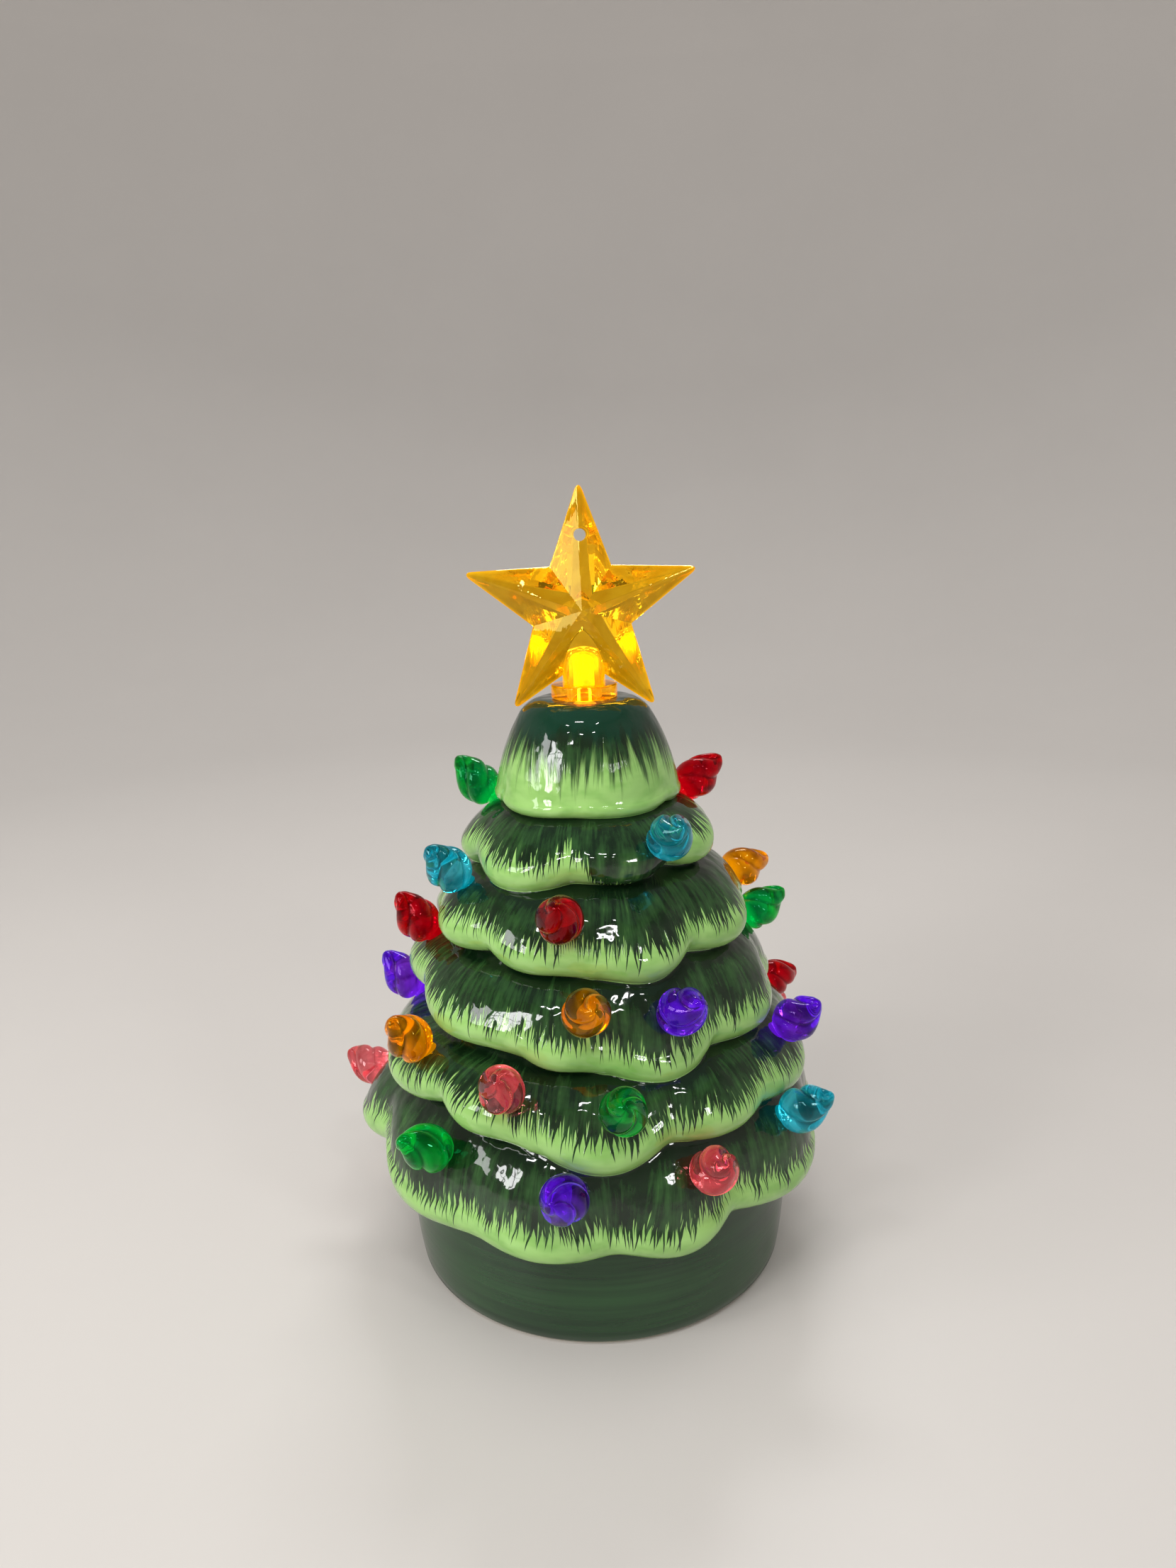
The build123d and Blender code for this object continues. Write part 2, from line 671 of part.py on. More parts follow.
def timer_chip():
    chip = block((-chip_length / 2, -chip_width / 2, board_top),
                 (chip_length / 2, chip_width / 2, board_top + chip_height))
    leg_half = chip_leg_width / 2
    leg_end = chip_width / 2 + chip_leg_reach
    for step in range(chip_leg_count):
        place = chip_leg_pitch * (step - (chip_leg_count - 1) / 2)
        chip += block((place - leg_half, -leg_end, board_top),
                      (place + leg_half, leg_end, board_top + chip_height / 2))
    return Pos(0, -chip_place, 0) * chip


def board_resistor():
    low = (-resistor_length / 2, resistor_place - resistor_width / 2, board_top)
    high = (resistor_length / 2, resistor_place + resistor_width / 2, board_top + resistor_height)
    return block(low, high)


def lead(route, bend_radii):
    # insulated wire along straight runs joined by arcs
    path = FilletPolyline(*route, radius=bend_radii)
    return sweep(Plane(origin=path @ 0, z_dir=path % 0) * Circle(lead_radius), path=path)


def arched_lead(start, end):
    # wire that rises from one solder point, crosses over and comes down on the other
    top = board_top + lead_rise
    route = [start, (start[0], start[1], top), (end[0], end[1], top), end]
    return lead(route, [lead_bend_radius, lead_bend_radius])


def battery_leads():
    leads = []
    for side in (-1, 1):
        start = (side * tab_place, side * end_cell_place, roof_top + tab_rise)
        angle = radians(90 - side * lead_pad_degrees)
        pad = (lead_pad_place * cos(angle), lead_pad_place * sin(angle), board_top)
        leads.append(arched_lead(start, pad))
    return Compound(leads)


switch_case_top = recess_height + switch_case_height


def switch_leads():
    leads = []
    for side in (-1, 1):
        start = (side * switch_pin_spacing / 2, -switch_place, switch_case_top)
        leads.append(arched_lead(start, (side * switch_pin_spacing / 2, -lead_pad_place, board_top)))
    return Compound(leads)


def star_leads():
    # two wires from the lamp board up to the pins in the star's stem, with a little slack
    run = (star_pin_low - board_top) / 4
    leads = []
    for side in (-1, 1):
        place = side * led_pin_spacing / 2
        route = [
            (place, 0, board_top),
            (place, 0, board_top + run),
            (place, star_lead_sway, board_top + 2 * run),
            (place, 0, board_top + 3 * run),
            (place, 0, star_pin_low),
        ]
        bends = []
        for before, corner, after in zip(route, route[1:], route[2:]):
            turn = (Vector(*corner) - Vector(*before)).get_angle(Vector(*after) - Vector(*corner))
            bends.append(star_bend_share * run / tan(radians(turn / 2)))
        leads.append(lead(route, bends))
    return Compound(leads)


def switch_case():
    half_length, half_width = switch_case_length / 2, switch_case_width / 2
    case = block((-half_length, -half_width, recess_height), (half_length, half_width, switch_case_top))
    case -= block((-half_length + switch_wall, -half_width + switch_wall, recess_height - overrun),
                  (half_length - switch_wall, half_width - switch_wall, switch_case_top - 2 * switch_wall))
    return Pos(0, -switch_place, 0) * case


def switch_slider():
    half_width = switch_case_width / 2 - switch_wall - sliding_gap
    low = recess_height + sliding_gap
    slider = block((-slider_length / 2, -half_width, low),
                   (slider_length / 2, half_width, low + slider_thickness))
    slider += block((-knob_length / 2, -knob_width / 2, knob_clearance),
                    (knob_length / 2, knob_width / 2, low))
    return Pos(-switch_travel / 2, -switch_place, 0) * slider


nodes = {
    "ceramic_tree": ceramic_tree(),
    "star_topper": star_topper(),
    "star_stem": star_stem(),
    "star_led": star_led(),
    "star_leads": star_leads(),
    "battery_housing": battery_housing(),
    "battery_door": battery_door(),
    "contact_springs": contact_springs(),
    "contact_plates": contact_plates(),
    "battery_leads": battery_leads(),
    "lamp_board": lamp_board(),
    "board_screws": board_screws(),
    "timer_chip": timer_chip(),
    "board_resistor": board_resistor(),
    "switch_case": switch_case(),
    "switch_slider": switch_slider(),
    "switch_leads": switch_leads(),
}
for index in range(cell_count):
    nodes[f"battery_{index + 1}"] = battery(index)
for index in range(lamp_count):
    nodes[f"tree_led_{index + 1}"] = tree_led(index)
bulb = bulb_solid()
for index, (seat, place) in enumerate(zip(bulb_seats, bulb_place_shares)):
    turn = bulb_turn_degrees + bulb_sway_degrees * sin(index)
    nodes[f"bulb_{index + 1:02d}_{place[3]}"] = seat.location * Rot(0, 0, turn) * bulb

os.makedirs("parts", exist_ok=True)
for name, shape in nodes.items():
    export_step(shape, f"parts/{name}.step")
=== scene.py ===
import bpy
import bmesh
import json
from math import cos, hypot, pi, radians, sin, sqrt
from mathutils import Matrix, Vector


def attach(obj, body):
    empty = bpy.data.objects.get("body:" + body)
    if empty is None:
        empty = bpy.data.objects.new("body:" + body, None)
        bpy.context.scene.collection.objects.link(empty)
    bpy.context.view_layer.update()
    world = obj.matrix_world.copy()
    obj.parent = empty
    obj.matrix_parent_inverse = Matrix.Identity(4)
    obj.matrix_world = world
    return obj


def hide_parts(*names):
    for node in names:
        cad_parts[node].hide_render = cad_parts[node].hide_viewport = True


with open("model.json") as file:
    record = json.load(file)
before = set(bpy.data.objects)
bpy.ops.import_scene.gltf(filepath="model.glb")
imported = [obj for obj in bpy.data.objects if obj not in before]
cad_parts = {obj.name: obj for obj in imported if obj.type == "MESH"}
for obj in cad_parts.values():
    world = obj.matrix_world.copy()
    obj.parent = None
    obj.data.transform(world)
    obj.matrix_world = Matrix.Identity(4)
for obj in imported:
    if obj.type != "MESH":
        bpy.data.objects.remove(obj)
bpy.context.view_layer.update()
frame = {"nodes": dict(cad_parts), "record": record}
nodes = frame["nodes"]
slotOf = {part["node"]: part["material_slot"] for part in frame["record"]["subparts"]}
mm = 0.001
print("frame loaded:", len(nodes), "nodes")


# small helpers for node trees

def setInput(tree, socket, value):
    if isinstance(value, bpy.types.NodeSocket):
        tree.links.new(value, socket)
    else:
        socket.default_value = value


def addNode(tree, kind, values=None, **settings):
    node = tree.nodes.new("ShaderNode" + kind)
    for name, value in settings.items():
        setattr(node, name, value)
    for name, value in (values or {}).items():
        setInput(tree, node.inputs[name], value)
    return node


def calc(tree, operation, *values):
    node = addNode(tree, "Math", operation=operation)
    for socket, value in zip(node.inputs, values):
        setInput(tree, socket, value)
    return node.outputs[0]


def step(tree, value, low, high):
    values = {"Value": value, "From Min": low, "From Max": high}
    return addNode(tree, "MapRange", values, interpolation_type="SMOOTHSTEP").outputs[0]


def mix(tree, factor, first, second):
    node = addNode(tree, "Mix", data_type="RGBA")
    for index, value in ((0, factor), (6, first), (7, second)):
        setInput(tree, node.inputs[index], value)
    return node.outputs[2]


def noise(tree, vector, scale, detail=2.0, rough=0.5):
    values = {"Vector": vector, "Scale": scale, "Detail": detail, "Roughness": rough}
    return addNode(tree, "TexNoise", values).outputs[0]


def stretched(tree, vector, scale):
    return addNode(tree, "VectorMath", {0: vector, 1: scale}, operation="MULTIPLY").outputs[0]


def split(tree, vector):
    return addNode(tree, "SeparateXYZ", {0: vector}).outputs


def objectPlace(tree):
    return addNode(tree, "TexCoord").outputs["Object"]


def ownPlace(tree, layerName):
    # the two values of a piece's own UV layer
    return split(tree, addNode(tree, "UVMap", uv_map=layerName).outputs[0])[:2]


def colour(red, green, blue):
    # from the 0 to 255 numbers of a colour picker
    shares = [c / 255 for c in (red, green, blue)]
    linear = [(c / 12.92 if c < 0.0404 else ((c + 0.055) / 1.055) ** 2.4) for c in shares]
    return (*linear, 1.0)


def newMaterial(name, **values):
    material = bpy.data.materials.new(name)
    material.use_nodes = True
    tree = material.node_tree
    shader = tree.nodes["Principled BSDF"]
    for key, value in values.items():
        shader.inputs[key.replace("_", " ")].default_value = value
    return material, tree, shader


def bumpInto(tree, shader, height, strength, distance):
    values = {"Strength": strength, "Distance": distance, "Height": height}
    bump = addNode(tree, "Bump", values)
    tree.links.new(bump.outputs[0], shader.inputs["Normal"])


def newGroup(name, inputs, outputs):
    # empty shader group with its named sockets
    group = bpy.data.node_groups.new(name, "ShaderNodeTree")
    for way, sockets in (("INPUT", inputs), ("OUTPUT", outputs)):
        for key, kind in sockets.items():
            group.interface.new_socket(key, in_out=way, socket_type="NodeSocket" + kind)
    return group, group.nodes.new("NodeGroupInput").outputs, group.nodes.new("NodeGroupOutput").inputs


# small helpers for meshes

weldDistance = 1e-7


def closeSeams(bm):
    bmesh.ops.remove_doubles(bm, verts=bm.verts[:], dist=weldDistance)
    bmesh.ops.recalc_face_normals(bm, faces=bm.faces[:])


def finishPiece(name, bm, materials, body, replaced=(), sharpDegrees=40):
    mesh = bpy.data.meshes.new(name)
    bm.to_mesh(mesh)
    bm.free()
    mesh.shade_smooth()
    mesh.set_sharp_from_angle(angle=radians(sharpDegrees))
    piece = bpy.data.objects.new(name, mesh)
    bpy.context.scene.collection.objects.link(piece)
    for material in materials:
        mesh.materials.append(material)
    if body:
        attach(piece, body)
    if replaced:
        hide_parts(*replaced)
    return piece


def wrapGrid(columns, rows, place, layers=None):
    # a flat grid whose points go where place(column, row) says, with its seams merged
    bm = bmesh.new()
    bmesh.ops.create_grid(bm, x_segments=columns, y_segments=rows, size=0.5)
    spots = {v: (round((v.co.x + 0.5) * columns), round((v.co.y + 0.5) * rows)) for v in bm.verts}
    for layerName, layerPlace in (layers or {}).items():
        layer = bm.loops.layers.uv.new(layerName)
        for face in bm.faces:
            for loop in face.loops:
                loop[layer].uv = layerPlace(*spots[loop.vert])
    for v, spot in spots.items():
        v.co = place(*spot)
    closeSeams(bm)
    return bm


def lathe(points, steps=72):
    # full turn about Z of an open outline of radius and height in millimetres
    bm = bmesh.new()
    verts = [bm.verts.new((r * mm, 0, z * mm)) for r, z in points]
    edges = [bm.edges.new(pair) for pair in zip(verts, verts[1:])]
    bmesh.ops.spin(bm, geom=verts + edges, cent=(0, 0, 0), axis=(0, 0, 1), angle=2 * pi,
                   steps=steps, use_merge=True)
    closeSeams(bm)
    return bm


def arc(centreR, centreZ, radius, first, last, every):
    # outline points round a centre, in degrees from level
    turns = [radians(a) for a in range(first, last, every)]
    return [(centreR + radius * cos(a), centreZ + radius * sin(a)) for a in turns]


def runLengths(points):
    # length along a polyline at each of its points
    lengths = [0.0]
    for a, b in zip(points, points[1:]):
        lengths.append(lengths[-1] + hypot(b[0] - a[0], b[1] - a[1]))
    return lengths


def between(a, b, part):
    return a[0] + (b[0] - a[0]) * part, a[1] + (b[1] - a[1]) * part


def resample(points, count):
    # evenly spaced points along a polyline, ends kept
    lengths = runLengths(points)
    out, index = [], 0
    for number in range(count):
        want = lengths[-1] * number / (count - 1)
        while index < len(points) - 2 and lengths[index + 1] < want:
            index += 1
        span = lengths[index + 1] - lengths[index]
        part = (want - lengths[index]) / span if span else 0
        out.append(between(points[index], points[index + 1], part))
    return out


# ceramic tree

treeForm = {
    "columns": 440,
    "seamDegrees": -270,     # the grid's seam runs down the back
    "shoulderRows": 15,
    "lipRows": 13,
    "collarRows": 15,
    "shoulderPoints": 16,
    "noseRadius": 4.6,
    "browDegrees": 40,       # where a shoulder turns into its lip
    "lipTurns": (14, 10),    # points round a lip and the degrees between them
    "browPoints": 5,         # points of a lip that always show
    "paintDegrees": 100,     # how far round the lip from its brow the paint's height counts from
    "topPaint": 40.0,        # paint height of the flat top, above all needles
    "collarLevel": 6.0,      # counts on from the tiers' numbers
    "insideLevel": 7.0,
    "creaseStep": (0.01, -0.06),    # from a lip's end to the start of the next shoulder
    "creaseClear": 0.05,
    "shoulderBulge": [0.05, 0.10, 0.10, 0.10, 0.10, 0.10],
    "neckRise": 1.0,
    "capInset": 14.0,
    "capRise": 12.0,
    "underInset": 8.0,
    "underRise": 1.0,
    "plugInset": 16.0,
    "plugRise": 7.0,
    "scallopDepth": 3.4,
    "scallopRise": 2.8,
    "lobeDroop": 4.0,
    "lobeReach": 3.4,
    "valleySoftness": 0.03,
    "strokeFan": 0.34,
    "top": [(4.65, 133), (8.2, 133), (10.2, 132.95), (11.5, 132.6), (12.6, 132), (13.6, 131.25),
            (14.45, 130.35)],
    "collar": [(45.2, 33), (45.2, 24), (45.3, 18), (45.2, 12), (44.9, 8), (44.5, 4.5), (44, 1.2),
               (43.5, 0.35), (42.8, 0)],
    "inside": [(39.6, 0), (39.6, 5.6), (34, 5.6), (34, 9.6), (39.2, 9.6), (39.2, 26.0), (38.6, 46.2),
               (31.8, 60.9), (25.8, 79.2), (18, 96), (9.8, 109.8), (6.5, 123), (4.65, 123), (4.65, 133)],
}
tierForms = [    # from the top; angles in degrees, shares per valley or per lobe after it
    {"lip": (21.4, 109.8), "nose": 0.4, "scallop": 0.26, "valleys": [-160, -97, -30, 45, 120],
     "depths": [1, 0.5, 1, 1, 1], "droops": [0, 0, 0, 0, 0]},
    {"lip": (29.6, 96.0), "scallop": 0.8, "valleys": [-158, -98, -50, 0, 50, 100, 150],
     "depths": [1, 0.7, 0.8, 1, 1, 1, 1], "droops": [0.45, -0.25, -0.3, 0, 0.2, 0, 0.2]},
    {"lip": (37.4, 79.2), "scallop": 0.85, "valleys": [-168, -130, -90, -52, -4, 40, 84, 134],
     "depths": [1, 0.7, 0.2, 1, 1, 1, 1, 1], "droops": [-0.6, -0.25, 0.35, -0.15, 0, 0.2, 0, 0.15]},
    {"lip": (43.4, 60.9), "scallop": 0.9, "valleys": [-160, -112, -87, -51, -6, 30, 70, 112, 152],
     "depths": [1, 0.3, 0.4, 0.9, 1, 1, 1, 1, 1],
     "droops": [-0.9, -0.3, 0.8, 0, 0.2, 0.5, 0, 0.2, -1.6]},
    {"lip": (50.2, 46.2), "scallop": 0.95, "valleys": [-174, -134, -106, -71, -41, 0, 34, 72, 108, 150],
     "depths": [1, 0.8, 0.3, 0.8, 0.6, 1, 1, 1, 1, 1],
     "droops": [-0.8, -0.7, 0.8, -0.1, 0.2, 0.2, 0, 0.3, 0, 0.2]},
    {"lip": (54.0, 26.0), "scallop": 1, "valleys": [-163, -120, -87, -56, -6, 26, 58, 92, 128, 160],
     "depths": [1.3, 0.4, 0.5, 1, 1, 1, 1, 1, 1, 1],
     "droops": [0, 0.25, 0.3, 0, 0, 0.1, 0, 0.25, 0, -0.6],
     "reaches": [0, 0, 0, 0, 0, 0, 0, 0, 0, 1]},
]


def lobeAt(tier, angle):
    # valley, droop and reach at an angle, and how far brush strokes fan out there
    valleys = tier["valleys"]
    turned = (angle - valleys[0]) % 360
    index = max(i for i in range(len(valleys)) if valleys[i] - valleys[0] <= turned)
    after = (index + 1) % len(valleys)
    start = valleys[index] - valleys[0]
    span = (valleys[after] - valleys[0] if after else 360) - start
    along = (turned - start) / span
    soft = treeForm["valleySoftness"]
    crest = (sqrt(sin(pi * along) ** 2 + soft) - sqrt(soft)) / (sqrt(1 + soft) - sqrt(soft))
    depth = tier["depths"][index] * (1 - along) + tier["depths"][after] * along

    def carried(shares):
        left, right = (shares[index - 1] + shares[index]) / 2, (shares[index] + shares[after]) / 2
        return shares[index] * crest + (left * (1 - along) + right * along) * (1 - crest)

    reach = carried(tier["reaches"]) if "reaches" in tier else 0
    fan = treeForm["strokeFan"] * span / (2 * pi) * sin(2 * pi * along)
    return depth * (1 - crest) * tier["scallop"], carried(tier["droops"]), reach, fan


def noseOf(tier):
    return treeForm["noseRadius"] * tier.get("nose", 1)


def tierOutline(number, angle):
    # shoulder, lip and underside of one tier at an angle, and the fan of its strokes
    form, tier = treeForm, tierForms[number]
    valley, droop, reach, fan = lobeAt(tier, angle)
    lipR = tier["lip"][0] - form["scallopDepth"] * valley + form["lobeReach"] * reach
    lipZ = tier["lip"][1] + form["scallopRise"] * valley - form["lobeDroop"] * droop
    nose = noseOf(tier)
    centre = (lipR - nose, lipZ + nose)
    if number:
        aboveR, aboveZ = tierForms[number - 1]["lip"]
        head = [(aboveR - form["capInset"], aboveZ + form["capRise"])]
        neck = (aboveR - form["noseRadius"], aboveZ + form["neckRise"])
    else:
        head, neck = [], form["top"][-1]
    (count, turn), brow = form["lipTurns"], form["browDegrees"]
    lip = arc(*centre, nose, brow, brow - turn * count, -turn)
    run, fall = lip[0][0] - neck[0], lip[0][1] - neck[1]
    shoulder = []
    for i in range(form["shoulderPoints"]):
        share = i / form["shoulderPoints"]
        bulge = form["shoulderBulge"][number] * 4 * share * (1 - share)
        shoulder.append((neck[0] + run * share - fall * bulge, neck[1] + fall * share + run * bulge))
    under = [(lipR - form["underInset"], lipZ + form["underRise"])]
    under.append((tier["lip"][0] - form["plugInset"], tier["lip"][1] + form["plugRise"]))
    return head + shoulder, lip, under, fan


def radiusAt(outline, height):
    # radius of a falling outline at a height
    for a, b in zip(outline, outline[1:]):
        if a[1] >= height >= b[1]:
            part = (a[1] - height) / (a[1] - b[1]) if a[1] > b[1] else 0
            return between(a, b, part)[0]
    return outline[0][0] if height > outline[0][1] else outline[-1][0]


def cutWhereItMeets(path, below):
    # part of a tier's lip and underside that shows, down to where it meets the outline below
    sure = treeForm["browPoints"]
    kept = path[:sure]
    for a, b in zip(path[sure - 1:], path[sure:]):
        gapA, gapB = a[0] - radiusAt(below, a[1]), b[0] - radiusAt(below, b[1])
        if gapB <= 0:
            part = gapA / (gapA - gapB) if gapA > 0 else 0
            kept.append(between(a, b, part))
            break
        kept.append(b)
    return kept


def treeColumn(angle):
    # one column of points, down the outside and up the inside:
    # radius, height, stroke angle, lift above the lip, tier and share of the way down the tier
    form = treeForm
    outlines = [tierOutline(number, angle) for number in range(len(tierForms))]
    column = [(r, z, angle, form["topPaint"], 0.0, 0.0) for r, z in form["top"][:-1]]
    creases = []
    aside, down = form["creaseStep"]
    start = form["top"][-1]
    for number, (shoulder, lip, under, fan) in enumerate(outlines):
        if number == len(tierForms) - 1:
            below = form["collar"]
        else:
            below = outlines[number + 1][0] + outlines[number + 1][1][:form["browPoints"]]
        shown = [start] + [p for p in shoulder if p[1] < start[1] - form["creaseClear"]] + lip[:1]
        upper = resample(shown, form["shoulderRows"])
        lower = resample(cutWhereItMeets(lip + under, below), form["lipRows"])
        points = upper + lower[1:]
        lengths = runLengths(points)
        lowest = lengths[form["shoulderRows"] - 1] + noseOf(tierForms[number]) * radians(form["paintDegrees"])
        for i, ((r, z), length) in enumerate(zip(points, lengths)):
            stroke = angle + fan * min(1, i / form["shoulderRows"])
            column.append((r, z, stroke, lowest - length, number, i / (len(points) - 1)))
        creases.append(len(column) - 1)
        start = (points[-1][0] + aside, points[-1][1] + down)
    for r, z in resample([start] + [p for p in form["collar"] if p[1] < start[1]], form["collarRows"]):
        column.append((r, z, angle, z, form["collarLevel"], 0.0))
    soft = column[:]
    for crease in creases:
        for i in (crease - 1, crease, crease + 1, crease + 2):
            r = (column[i - 1][0] + 2 * column[i][0] + column[i + 1][0]) / 4
            z = (column[i - 1][1] + 2 * column[i][1] + column[i + 1][1]) / 4
            soft[i] = (r, z, *column[i][2:])
    for r, z in form["inside"]:
        soft.append((r, z, angle, 0.0, form["insideLevel"], 0.0))
    return soft


def ceramicTree(materials):
    count, seam = treeForm["columns"], treeForm["seamDegrees"]
    columns = [treeColumn(seam + 360 * i / count) for i in range(count)]
    columns.append([(r, z, stroke + 360, *rest) for r, z, stroke, *rest in columns[0]])
    rows = len(columns[0]) - 1

    def place(column, row):
        r, z = columns[column][row][:2]
        angle = radians(seam + 360 * (column % count) / count)
        return Vector((r * cos(angle), r * sin(angle), z)) * mm

    def strokes(column, row):
        stroke, lift, tier = columns[column][row][2:5]
        radius = tierForms[min(int(tier), len(tierForms) - 1)]["lip"][0]
        return radians(stroke) * radius, lift

    def tierPlace(column, row):
        return columns[column][row][4:]

    bm = wrapGrid(count, rows, place, {"strokes": strokes, "tierPlace": tierPlace})
    layer = bm.loops.layers.uv["tierPlace"]
    clayFrom, collarFrom = treeForm["insideLevel"] - 0.5, treeForm["collarLevel"] - 0.5
    for face in bm.faces:
        levels = [loop[layer].uv.x for loop in face.loops]
        face.material_index = 2 if max(levels) > clayFrom else 1 if min(levels) > collarFrom else 0
    return finishPiece("glazedTree", bm, materials, "tree", ["ceramic_tree"], 60)


firPaint = {
    "light": colour(150, 195, 110),
    "lightShade": colour(128, 176, 90),
    "dark": colour(13, 33, 15),
    "middle": colour(43, 79, 38),
    "thin": colour(84, 128, 62),
    "cap": colour(12, 50, 34),
    "needles": [
        {"pitch": 0.85, "tipLow": 3.6, "tipHigh": 9.2, "taper": 5.6, "lean": 0.12, "offset": 0.0},
        {"pitch": 1.25, "tipLow": 3.4, "tipHigh": 8.4, "taper": 6.6, "lean": -0.16, "offset": 31.7},
        {"pitch": 0.62, "tipLow": 5.0, "tipHigh": 10.6, "taper": 5.0, "lean": 0.02, "offset": 77.1},
        {"pitch": 2.10, "tipLow": 5.4, "tipHigh": 9.4, "taper": 8.5, "lean": -0.05, "offset": 113.3},
    ],
    "needleWidth": (0.30, 0.35),      # narrowest, and what chance adds
    "needleEdge": 0.14,
    "tierShift": 13.7,
    "bendShare": 0.9,        # how far neighbouring strokes lean together
    "waveHeight": 1.6,
    "tuftHeight": 1.9,
    "topLift": 2.4,          # the top tier keeps a wider light band
    "bodyLift": (10.5, 12.5),
    "darkRun": (-36.0, 3.0, 17.0),    # where paint ran over the second tier's lip, and its half widths
    "darkRunDrop": -10.0,
    "tierApart": 40.0,       # keeps one tier's pattern from showing on the next
    "smears": {"stretch": (0.9, 0.04, 1.0), "gain": 1.7, "climb": 0.062, "level": -0.85, "edge": (0.30, 0.74)},
    "streakStretch": (0.8, 0.08, 1.0),
    "patchStretch": (0.16, 0.13, 1.0),
    "tones": {"needle": 0.08, "streaks": (1.5, -0.72), "patches": (1.3, -0.55), "neck": -0.5},
    "neckShadeEdge": (0.24, 0.0),          # shares of a tier under the lip above, where it is darker: partly deeper paint, partly painted shade
    "middleEdge": (-0.05, 0.65),
    "thinEdge": (0.5, 1.0),
    "cloudStretch": (0.16, 0.3, 1.0),
    "dripStretch": (0.30, 0.02, 1.0),
    "capEdge": (22.0, -13.0),         # height of the dark cap's edge and how far its drips run down
    "capSoftness": 5.0,
    "underEdge": (-0.5, -1.3),
    "swellScale": 120.0,
    "rippleScale": 330.0,
    "rippleShare": 0.24,
    "needleRelief": 0.05,
    "bump": (0.5, 0.0014),
    "roughness": 0.05,
}


def swaying(tree, vector, scale, height):
    # soft wave about zero, in millimetres
    wave = noise(tree, stretched(tree, vector, (scale, 0.0, 1.0)), 1.0, 1.0)
    return calc(tree, "MULTIPLY_ADD", wave, 4 * height, -2 * height)


def needleMask(tree, layer, leaning, lift, tier, rim):
    # one layer of brushed needles: dark above its tips, each tip tapering down to a point
    way = calc(tree, "MULTIPLY_ADD", lift, layer["lean"], leaning)
    way = calc(tree, "DIVIDE", way, layer["pitch"])
    way = calc(tree, "ADD", way, calc(tree, "MULTIPLY_ADD", tier, firPaint["tierShift"], layer["offset"]))
    cells = addNode(tree, "TexVoronoi", {"W": way, "Scale": 1.0}, voronoi_dimensions="1D")
    chance, second = addNode(tree, "SeparateColor", {0: cells.outputs["Color"]}).outputs[:2]
    tip = calc(tree, "MULTIPLY_ADD", chance, layer["tipHigh"] - layer["tipLow"], layer["tipLow"])
    rise = calc(tree, "SUBTRACT", lift, calc(tree, "ADD", tip, rim))
    least, more = firPaint["needleWidth"]
    width = calc(tree, "MULTIPLY_ADD", second, more, least)
    narrow = calc(tree, "DIVIDE", cells.outputs["Distance"], width)
    edge = calc(tree, "SUBTRACT", calc(tree, "DIVIDE", rise, layer["taper"]), narrow)
    return step(tree, edge, 0.0, firPaint["needleEdge"]), chance


